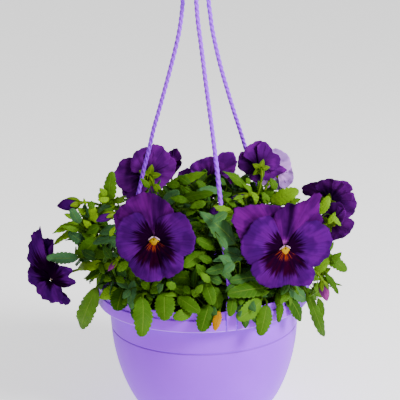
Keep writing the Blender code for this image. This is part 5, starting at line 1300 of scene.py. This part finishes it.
def petal_grid(petal, size, eye, axes, kind, chance):
    """A petal as rings that run out over its face and back under it, one for each point of its rim.

    A point lies a share out of the way from the foot to the rim. Its height is level + (rim - level)
    out^1.5 + bulge sin(pi out). With s the length along the rim, the edge is scalloped by waves of s,
    ruffled by out^4 sin(s / 3) and out^3 sin(s / 5.4), and ridged by fine rays that fade at the edge.
    """
    share = np.linspace(-1, 1, PETAL_POINTS + 2)[1:-1]
    rim, level, bulge = petal_rim(petal, size, eye, axes, share)
    out = np.linspace(0.03, 1, PETAL_STATIONS) ** 0.8
    run = np.concatenate([[0], np.cumsum(np.linalg.norm(np.diff(rim, axis=0), axis=1))])[:, None]
    phase = [chance.uniform(0, 6) for _ in range(6)]
    ends = smoothstep(0, 4, run) * smoothstep(0, 4, run[-1] - run)
    scallop = 0.009 * np.sin(run / 0.9 + phase[0]) + 0.012 * np.sin(run / 2.1 + phase[1])
    reach = out * (1 + scallop * out**6 * ends)
    x, y = rim[:, :1] * reach, rim[:, 1:2] * reach
    rise = level + (rim[:, 2:] - level) * out**1.5 + bulge * np.sin(np.pi * out) * 0.6
    rise = rise + ends * out**4 * 0.75 * size * np.sin(run / 2.3 + phase[2])
    rise = rise + ends * out**3 * 0.9 * size * np.sin(run / 5.4 + phase[3])
    rise = rise + 0.22 * size * np.sin(run / 1.7 + phase[4]) * np.sin(np.pi * out)
    half = PETAL_HALF / MM * np.sqrt(1 - out**6) + 0.04
    top, under = layered(x, y, rise + half), layered(x, y, rise - half)
    grid = np.concatenate([top[:, ::-1], under], axis=1)
    spot = layered(share[:, None], np.concatenate([out[::-1], out]), np.repeat([1.0, 0.0], len(out)))
    face = layered(grid[..., 0] / size, grid[..., 1] / size, kind)
    return grid * MM, spot, face


def to_world(grid, eye, axes):
    """A flower's own places turned by its axes and moved to its eye."""
    return np.array(eye) + grid @ np.array(axes).T


def stalk_path(root, top, back, count):
    """A stalk rises from its hole, then bends over to meet its flower from behind."""
    foot, ground = in_soil(root[0] * MM, root[1] * MM)
    span = (top - ground).length
    handles = (ground, ground + Vector((0, 0, span * 0.5)), top + back * min(span * 0.35, 26 * MM), top)
    return np.vstack([[foot], bezier(handles, count)])


def sepal_grid(centre, axes, angle, length, width, flare):
    """A pointed sepal: rings along a line that leans with flare, widest at 0.4, flat with a keel below."""
    right, up, forward = (np.array(axis) for axis in axes)
    out = right * math.cos(angle) + up * math.sin(angle)
    tangent = up * math.cos(angle) - right * math.sin(angle)
    s = np.linspace(0.02, 0.99, 14)
    path = np.array(centre) + (out + forward * flare) * s[:, None] * length
    half = width / 2 * np.sin(np.pi * s**0.8) ** 0.8 + 0.3 * MM * (1 - s)
    thick = 0.35 * MM + 0.5 * MM * (1 - s)
    section = ring_angles(12)
    x = np.cos(section)
    lift = np.sin(section) * (1 - 0.5 * np.abs(x))
    lift = thick[:, None] * lift - half[:, None] * 0.25 * np.abs(x)
    return sweep(path, tangent, half[:, None] * x, lift), layered(x, s[:, None], 1.0)


def knob(centre, forward, back, radius):
    """The swelling that the petals and sepals grow from: a ball drawn out along the stalk."""
    t = np.linspace(-0.96, 0.96, 9)
    path = np.array(centre) + np.outer(t, np.array(forward)) * back
    return tube(path, radius * np.sqrt(1 - t**2), 12)


def start_stalk(root, centre, look, length, radius):
    """A skin that holds a stalk and the knob at its end."""
    skin = Skin()
    skin.add(tube(stalk_path(root, centre, -look, 26), STALK_RADIUS, 10), spot=(1, 0, 1))
    skin.add(knob(centre, look, length, radius), spot=(1, 0, 1))
    return skin


def make_bloom(name, root, petal_material, slot):
    """A bloom's petals and throat as one piece, and its stalk with five eared sepals as another."""
    across, down, ahead, face, size, petals = BLOOMS[name]
    eye, axes = seen(across, down, ahead), facing(*face)
    look = axes.col[2]
    chance = random.Random(name)
    kinds, spreads, eye_share = SIDE_LOOK if name == "left_side" else OPEN_LOOK
    skin = Skin()
    for petal, kind, spread in zip(petals, kinds, spreads):
        grid, spot, where = petal_grid(petal, size, eye, axes, kind, chance)
        skin.add(to_world(grid, eye, axes), spot=spot, face=where * (spread, spread, 1))
    throat = np.outer(np.linspace(-THROAT_BACK, 0.6, 8), (0, 0, 1)) * size * MM
    throat = tube(throat, np.linspace(2.6, 2.2, 8) * size * MM, 16, (1, 0, 0))
    skin.add(to_world(throat, eye, axes), spot=(0, 0, 0), face=(0, 0, 2))
    skin.piece(f"bloom_{name}", petal_material, slot, f"petals_{name}")
    centre = eye - look * (THROAT_BACK * size * MM + GAP + CALYX_CORE)
    leans = [math.tan(math.radians(petal[3])) if len(petal) == 5 else 0 for petal in petals]
    green = start_stalk(root, centre, look, 3.2 * MM * size, 2.6 * MM * size)
    for k in range(SEPALS):
        turn = k * 2 * math.pi / SEPALS + SEPAL_TURN
        for length, width, flare in (
                (SEPAL_LENGTH, SEPAL_WIDTH, SEPAL_FLARE + min(leans)), (EAR_LENGTH, EAR_WIDTH, EAR_LEAN)):
            grid, spot = sepal_grid(centre, axes.col, turn, length * size, width * size, flare)
            green.add(grid, spot=spot)
    green.piece(f"stalk_and_sepals_{name}", STALK, "stalk", f"stalk_{name}")
    make_eye(name, eye, axes, size * eye_share)
    return [skin, green]


EYE_OUTLINE = (
    (-4.6, -1.6), (-2.6, 0.9), (0, 1.7), (2.6, 0.9), (4.6, -1.6), (3.7, -4.8), (2.5, -7.4), (0.2, -8.0),
    (-2.1, -7.4), (-3.6, -4.8),
)


def make_eye(name, eye, axes, size):
    """The yellow mouth of a flower, a low dome on a five-cornered outline, under two bearded ridges.

    The dome's rings lie at outline * sin t and height 1.4 + 2 cos t. A ridge is a tube along a curve.
    """
    closed = np.array([*EYE_OUTLINE, EYE_OUTLINE[0]])
    at = np.linspace(0, len(EYE_OUTLINE), 40, endpoint=False)
    x, y = (np.interp(at, np.arange(len(closed)), closed[:, k])[::-1] for k in (0, 1))
    t = np.linspace(np.pi / 2, 0.06, 9)
    share = np.concatenate([[0.5, 0.98], np.sin(t)])[:, None]
    height = np.concatenate([[1.0, 1.2], 1.4 + 2.0 * np.cos(t)])[:, None]
    dome = layered(x * share, y * share, height) * size
    skin = Skin()
    skin.add(to_world(dome * MM, eye, axes), spot=dome / size * (1, 1, 0))
    for way in (-1, 1):
        for number in range(2):
            reach = way * (1 + 0.14 * number)
            line = bezier([
                (5.2 * reach, -1.3 - number * 0.6, 0.8), (4.3 * reach, 0.7, 2.2),
                (2.6 * reach, 1.9, 2.9 - number * 0.5), (0.5 * way, 2.4 + number * 0.6, 2.2)], 12) * size
            thick = (0.72 - 0.3 * number) * np.sin(np.linspace(0.25, np.pi - 0.3, 12)) * size
            ridge = tube(line, thick, 10, (0, 0, 1))
            skin.add(to_world(ridge * MM, eye, axes), spot=(0, 5, 1))
    skin.piece(f"eye_{name}", EYE, "violet_petal")


def hugging_sepal(k, foot, centre, axes, length, thick, widths):
    """A bud's sepal: a flat line of rings that starts on the knob and lies close along the bud's side."""
    right, up, look = (np.array(axis) for axis in axes)
    turn = k * 2 * math.pi / SEPALS + SEPAL_TURN
    out = right * math.cos(turn) + up * math.sin(turn)
    run = np.linspace(0, 0.5 if k % 2 else 0.38, 12)
    hug = np.interp(run, np.linspace(0, 1, len(widths)), widths) * thick / 2 * 1.06 + 0.3 * MM
    line = np.array(foot) + np.outer(run * length - BUD_SEAT * (1 - run * 2), look) + np.outer(hug, out)
    line[0] = np.array(centre) + out * 0.8 * MM
    half = thick * 0.22 * np.sin(np.pi * (run / run[-1]) ** 0.7 * 0.97 + 0.02) ** 0.8 + 0.25 * MM
    angle = ring_angles(10)
    lift = 0.3 * MM * np.sin(angle) * np.ones((len(run), 1))
    grid = sweep(line, up * math.cos(turn) - right * math.sin(turn), half[:, None] * np.cos(angle), lift)
    return grid, layered(np.cos(angle), run[:, None], 1.0)


def make_bud(name, spec, petal_material, slot):
    """Petals rolled round each other: a body that swells and points, with ridges that wind round it.

    Its radius is width * (0.95 + 0.09 |sin(1.5 angle - 3.4 s)|), with s from the foot to the tip.
    """
    tip_sight, foot_sight, ahead, thick, root = spec
    tip, foot = seen(*tip_sight, ahead), seen(*foot_sight, ahead)
    look, length = (tip - foot).normalized(), (tip - foot).length
    s = np.linspace(0, 1, 30)
    widths = np.interp(s, BUD_STATIONS, BUD_WIDTHS)
    widths = np.convolve(np.pad(widths, 2, "edge"), np.ones(5) / 5, "valid")
    widths[-3:] *= (1, 0.8, 0.4)
    path = np.array(foot) + np.outer(s * length, np.array(look))
    angle = ring_angles(28)
    folds = 1 + 0.09 * np.abs(np.sin(1.5 * angle - s[:, None] * 3.4)) - 0.05
    radius = thick * MM / 2 * widths[:, None] * folds
    right = look.cross(Vector((0.2, 0.1, 1))).normalized()
    body = Skin()
    spot = layered(np.cos(angle), s[:, None], 1.0)
    face = layered(30 * np.sin(angle), 20 + 20 * s[:, None], 1.0)
    body.add(sweep(path, right, radius * np.cos(angle), radius * np.sin(angle)), spot=spot, face=face)
    body.piece(f"rolled_bud_{name}", petal_material, slot, f"bud_{name}")
    centre = foot - look * (BUD_SEAT + CALYX_CORE)
    green = start_stalk(root, centre, look, 2.2 * MM, 1.9 * MM)
    axes = (right, look.cross(right), look)
    for k in range(SEPALS):
        grid, spot = hugging_sepal(k, foot, centre, axes, length, thick * MM, widths)
        green.add(grid, spot=spot)
    green.piece(f"stalk_and_sepals_bud_{name}", STALK, "stalk", f"stalk_bud_{name}")
    return [body, green]


# Leaves

def stem_path(stem, count):
    """A leafy stem's centre line, upright in the soil and leaning out at the top."""
    turn, root_radius, top_radius, height = stem
    foot, ground = in_soil(*around(turn, root_radius * MM, 0).xy)
    top = around(turn, top_radius * MM, height * MM)
    rise = top.z - ground.z
    handles = (
        ground, ground + Vector((0, 0, rise * 0.5)), top.lerp(ground, 0.3) + Vector((0, 0, rise * 0.12)), top)
    return [foot, *(Vector(p) for p in bezier(handles, count))]


def out_of_mound(point):
    """The direction out of the leafy mound at a point, leaning upward."""
    away = point - MOUND_CENTRE
    scaled = Vector([away[k] / MOUND_RADII[k] ** 2 for k in range(3)])
    return (scaled.normalized() + Vector((0, 0, 0.35))).normalized()


class LeafyStem:
    """One stem of the frame: its line, the roots that are taken, its leaves, and its node's corners."""

    def __init__(self, number, spec):
        """Reads the corners of the frame's node, which tell the leaves that it has."""
        self.node = f"leafy_stem_{number:02d}"
        self.line = stem_path(spec, ROOT_PLACES)
        self.roots = self.line[ROOT_PLACES // 5 :]
        self.taken = []
        self.leaves = []
        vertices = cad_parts[self.node].data.vertices
        corners = np.empty(len(vertices) * 3, np.float32)
        vertices.foreach_get("co", corners)
        self.corners = corners.reshape(-1, 3)

    def root(self, k):
        """A place on the stem's line, with the stem's direction there."""
        return self.line[k], (self.line[k] - self.line[k - 1]).normalized()

    def free_roots(self):
        """The places on the stem that are clear of taken roots, with the stem's direction there."""
        for i, root in enumerate(self.roots[:-1]):
            if all((root - other).length > ROOT_SPACING for other in self.taken):
                lead = root - self.roots[i - 1] if i else self.roots[1] - root
                yield root, lead.normalized()

    def holds(self, tip):
        """Whether the frame's node has a leaf that ends here."""
        return np.linalg.norm(self.corners - np.array(tip), axis=1).min() < SAME_PLACE


def leaf_on_stem(foot, tip, width, show, turn, stems):
    """A leaf set on the free root nearest to its foot. Show turns its face from the mound's to the eye."""
    best = None
    for stem in stems:
        for root, lead in stem.free_roots():
            cost = (root - foot).length + max(0, root.z - foot.z)
            if best is None or cost < best[0]:
                best = (cost, stem, root, lead)
    _, stem, root, lead = best
    along = (tip - foot).normalized()
    to_eye = -sight_frame()[1]
    normal = square_to(along, out_of_mound((foot + tip) / 2).lerp(to_eye, show))
    return stem, (root, lead, foot, tip, width, Matrix.Rotation(math.radians(turn), 3, along) @ normal)


def settle_leaf(stems, chance, wish, tries, tint, blunt):
    """The same draws that placed the frame's leaf, up to the one that its node really has."""
    foot, tip, width, show, turn = wish
    to_eye = -sight_frame()[1]
    for attempt in range(tries):
        reach, depth = STRAY * attempt, SIGHT_STRAY * attempt
        shift, swing = (
            scatter(chance.uniform, -reach, reach) + to_eye * chance.uniform(-depth, depth) for _ in range(2))
        lean = turn + chance.uniform(-2, 2) * attempt
        stem, leaf = leaf_on_stem(foot + shift, tip + shift + swing, width, show, lean, stems)
        if stem.holds(leaf[3]):
            stem.taken.append(leaf[0])
            stem.leaves.append((leaf, tint, blunt))
            return True
    return False


def filler_leaf(chance):
    """A leaf drawn at random on the far side of the mound: foot, tip, width, show and turn."""
    turn = chance.gauss(180, 52)
    climb = math.asin(chance.uniform(0, 0.97))
    out = around(turn, math.cos(climb), math.sin(climb))
    foot = MOUND_CENTRE + Vector([out[k] * MOUND_RADII[k] for k in range(3)]) * chance.uniform(0.68, 0.95)
    aside = square_to(out, scatter(chance.gauss, 0, 1))
    length = chance.uniform(33, 47) * MM
    tip = foot + (out * chance.uniform(0.2, 0.8) + aside).normalized() * length
    return foot, tip, length * chance.uniform(0.56, 0.72), 0, chance.uniform(-25, 25)


def grow_stems():
    """The frame's stems with the leaves that their nodes have, found by the same seeded draws."""
    stems = [LeafyStem(number + 1, spec) for number, spec in enumerate(STEMS)]
    tints = random.Random(SEED)
    for number, (foot, tip, width, show) in enumerate(LEAVES):
        wish = (seen_at_radius(*foot), seen_at_radius(*tip), width * MM, show, 0)
        blunt = number not in POINTED_LEAVES
        settle_leaf(stems, random.Random(SEED + number), wish, LEAF_TRIES, LEAF_GREENS[number], blunt)
    left = FILLER_LEAVES
    number = len(LEAVES)
    while left and number < FILLER_TRIES:
        chance = random.Random(SEED + number)
        left -= settle_leaf(stems, chance, filler_leaf(chance), 1, tints.uniform(0.1, 0.85), 0.8)
        number += 1
    return stems


def blade_half_width(share, blunt):
    """A blade's half width as a share of its widest, from a pointed lance, blunt 0, to a round oval, 1."""
    lance, oval = np.sin(np.pi * share**0.78) ** 0.95, np.sin(np.pi * share**0.92) ** 0.5
    return lance + (oval - lance) * blunt


def leaf_grid(
        leaf, chance, blunt, teeth, rows=41, ring=18, petiole_radius=PETIOLE_RADIUS,
        petiole_rings=PETIOLE_RINGS):
    """A leaf as one skin: rings round its petiole, which flatten into the blade's face and underside.

    Across the blade a ring's corner lies half width * x to the side, with x = cos of its angle. Its
    height is the arch of the midrib, less the cup of the sides, with a shallow dip along the midrib,
    swells between the side veins and a slow wave along the margin. Rounded teeth widen the margin.
    """
    root, lead, foot, tip, width, normal = leaf
    span = foot - root
    aside = square_to(lead, span)
    start = (lead + aside * PETIOLE_SLANT).normalized()
    end = (tip - foot).normalized() + normal * LEAF_ARCH * 4
    bend = (root, root + start * span.length * 0.4, foot - end * span.length * 0.35, foot)
    petiole = bezier(bend, petiole_rings + 1)[:-1]
    chord = np.array(tip - foot)
    length = float(np.linalg.norm(chord))
    up = np.array(normal)
    s = np.linspace(0.0, 1, rows)[:, None] ** 0.95 * 0.992
    midline = np.array(foot) + chord * s + up * length * LEAF_ARCH * 4 * s * (1 - s)
    angle = ring_angles(ring)
    x = np.sign(np.cos(angle)) * np.abs(np.cos(angle)) ** 0.85
    away = np.abs(x)
    bulge = np.sin(angle)
    phase = chance.uniform(0, 6)
    tooth = np.abs(np.sin(np.pi * teeth * s + 0.4)) ** 0.6
    half = width / 2 * blade_half_width(np.clip(s, 0.0005, 1), blunt)
    half = half * (1 + TOOTH_DEPTH * (tooth - 0.75) * away**5 * smoothstep(0.12, 0.3, s))
    neck = smoothstep(0.14, 0.0, s)
    half = np.maximum(half, petiole_radius * neck)
    thick = LEAF_THICK * np.sqrt(1 - away**4) + LEAF_MARGIN + (petiole_radius - 0.3 * MM) * neck
    veins = np.cos(2 * np.pi * teeth * (s - 0.17 * away))
    lift = LEAF_SWELL * (1 - veins) * away * (1 - away) * 2 * smoothstep(0, 0.15, s)
    lift = lift - LEAF_RIB * np.exp(-((x / 0.13) ** 2)) * (1 - neck)
    lift = lift - half * LEAF_CUP * away**1.4
    lift = lift + length * 0.022 * away**3 * np.sin(s * 13 + phase + np.sign(x) * 1.3) * (1 - neck)
    rib = -LEAF_RIB * np.exp(-((x / 0.12) ** 2)) * (bulge < 0) * (1 - s)
    blade = sweep(midline, np.cross(up, chord), half * x, lift + thick * bulge + rib, unit(chord))
    stalk = tube(petiole, petiole_radius, ring, np.cross(up, chord))
    grid = np.concatenate([stalk, blade])
    along = np.concatenate([np.full((len(petiole), 1), -0.05), s])
    stem = np.concatenate([np.ones((len(petiole), 1)), smoothstep(0.1, 0, s)])
    return grid, layered(x, along, bulge >= -0.02), stem


def stem_with_leaves(number, stem):
    """A stem and its own leaves as one skin."""
    chance = random.Random(SEED + 500 + number)
    skin = Skin()
    line = np.array(stem.line)
    radius = np.linspace(1, 0.68, len(line)) * STEM_RADIUS
    skin.add(tube(line, radius, 10), spot=(0.5, 0, 1), tint=(0.6, 1, 0))
    for leaf, green, blunt in stem.leaves:
        add_leaf(skin, leaf_grid(leaf, chance, blunt, 6 + int(leaf[4] / (6 * MM))), green)
        chance.random()  # each leaf's wave keeps its own place in the draws
    return skin


def add_leaf(skin, parts, green):
    """Adds a leaf's grid with its tint of (green, stem, 0)."""
    grid, spot, petiole = parts
    skin.add(grid, spot=spot, tint=layered(green, petiole, 0.0))


def is_clear(grid, taken):
    """Whether a closed surface crosses none of the taken ones."""
    tree = Skin(grid).tree()
    return not any(tree.overlap(other) for other in taken)


def nearest_line(stems, foot):
    """The place along a stem's line, past its own foot, that lies nearest to a leaf's foot."""
    return min(
        ((point - foot).length, k, number)
        for number, stem in enumerate(stems) for k, point in enumerate(stem.line) if k > 2)[1:]


def set_small_leaf(entry, stems, skins, solids, blades, chance):
    """Puts a small leaf in view on the nearest stem, moved along the sight line to where it has room."""
    foot_sight, tip_sight, width, show, green = entry
    to_eye = -sight_frame()[1]
    for shift in SIGHT_SHIFTS:
        foot, tip = (seen_at_radius(*sight) + to_eye * shift * MM for sight in (foot_sight, tip_sight))
        k, number = nearest_line(stems, foot)
        root, lead = stems[number].root(k)
        normal = square_to((tip - foot).normalized(), out_of_mound((foot + tip) / 2).lerp(to_eye, show))
        if (foot - root).length < 2 * MM:
            foot = root + (tip - root).normalized() * 3 * MM
        leaf = (root, lead, foot, tip, width * MM, normal)
        parts = leaf_grid(leaf, chance, chance.uniform(0.1, 0.65), 4, 25, 12, SMALL_PETIOLE)
        blade = parts[0][PETIOLE_RINGS:]
        if is_clear(parts[0], solids) and is_clear(blade, blades):
            add_leaf(skins[number], parts, green)
            blades.append(Skin(blade).tree())
            return


def make_leaves(stems, solids):
    """Each stem with its leaves, the small leaves in view, then others on the stems where there is room."""
    solid_trees = [solid.tree() for solid in solids]
    skins = [stem_with_leaves(number, stem) for number, stem in enumerate(stems)]
    blades = [skin.tree() for skin in skins]
    chance = random.Random(SEED)
    for entry in SMALL_LEAVES:
        set_small_leaf(entry, stems, skins, solid_trees, blades, chance)
    for stem, skin in zip(stems, skins):
        for _ in range(YOUNG_TRIES):
            parts = leaf_grid(small_leaf(stem, chance), chance, 0.5, 3, 10, 6, SMALL_PETIOLE, 3)
            if is_clear(parts[0], solid_trees):
                add_leaf(skin, parts, chance.uniform(0.1, 0.9))
        skin.piece(f"leaves_{stem.node}", LEAF, "leaf", stem.node)


def small_leaf(stem, chance):
    """A narrow young leaf or stipule on a stem: root, lead, foot, tip, width and normal."""
    root, lead = stem.root(chance.randrange(4, len(stem.line) - 1))
    out = square_to(lead, scatter(chance.gauss, 0, 1))
    foot = root + out * chance.uniform(3, 16) * MM + lead * chance.uniform(1, 8) * MM
    length = chance.uniform(9, 24) * MM
    way = out + lead * chance.uniform(-0.4, 1.0) + Vector((0, 0, chance.uniform(-0.3, 0.3)))
    tip = foot + way.normalized() * length
    normal = square_to((tip - foot).normalized(), out_of_mound(tip) + scatter(chance.uniform, -0.4, 0.4))
    return root, lead, foot, tip, length * chance.uniform(0.35, 0.55), normal


# The whole basket

PETALS = {
    "violet": (VIOLET, "violet_petal"), "painted_lit": (PAINTED_LIGHT_VIOLET, "violet_petal"), "pale": (PALE, "pale_petal"),
    "faded": (FADED, "faded_petal"),
}
# back_centre's petal backs carry painted light
PETALS_OF = {
    "back_centre": "painted_lit", "back_right_pale": "pale", "right_drooping": "faded", "left_small": "faded",
}


def make_basket():
    """The pot, hanger, soil and flowers, then the leaves that keep clear of them."""
    solids = [make_pot(), *make_hanger()]
    soil = make_soil()
    for name, root in zip(BLOOMS, BLOOM_ROOTS):
        solids += make_bloom(name, root, *PETALS[PETALS_OF.get(name, "violet")])
    for name, spec in BUDS.items():
        solids += make_bud(name, spec, *PETALS[PETALS_OF.get(name, "violet")])
    make_leaves(grow_stems(), [*solids, soil])


# Studio

def make_camera():
    """The eye of the photograph, with its lens from the scale."""
    eye, forward, right, up = sight_frame()
    lens = bpy.data.cameras.new("camera")
    lens.sensor_width = SENSOR
    lens.lens = SIGHT_SCALE * SENSOR / FRAME_WIDTH
    camera = placed("camera", lens)
    turn = Matrix((right, up, -forward)).transposed().to_4x4()
    camera.matrix_world = Matrix.Translation(eye) @ turn
    bpy.context.scene.camera = camera


def make_key():
    """A round area light that looks at the middle of the basket."""
    lamp = bpy.data.lights.new("key", "AREA")
    lamp.shape = "DISK"
    lamp.size = KEY_SIZE
    lamp.energy = KEY_POWER
    aim = (KEY_TARGET - KEY_PLACE).to_track_quat("-Z", "Y")
    placed("key", lamp).matrix_world = Matrix.Translation(KEY_PLACE) @ aim.to_matrix().to_4x4()


def make_studio():
    """A plain pale floor that glows a little, a soft key from the upper right and an even white surround."""
    floor_finish, g, out = material(
        "pale floor", Roughness=0.9, Specular_IOR_Level=0.1, Emission_Color=(1, 1, 1, 1),
        Emission_Strength=FLOOR_GLOW)
    g.feed(out["Base Color"], g.mix(g.noise(g.place(), 3.0), FLOOR_PALE, FLOOR_PALER))
    floor = placed("floor", Skin(turned([(FLOOR_RADIUS, -20 * MM), (FLOOR_RADIUS, 0)], 64)).mesh("floor"))
    floor.data.materials.append(floor_finish)
    world = bpy.data.worlds.new("surround")
    world.use_nodes = True
    background = world.node_tree.nodes["Background"].inputs
    background["Color"].default_value = (1, 1, 1, 1)
    background["Strength"].default_value = SURROUND
    bpy.context.scene.world = world
    make_key()


make_camera()
make_studio()
make_basket()
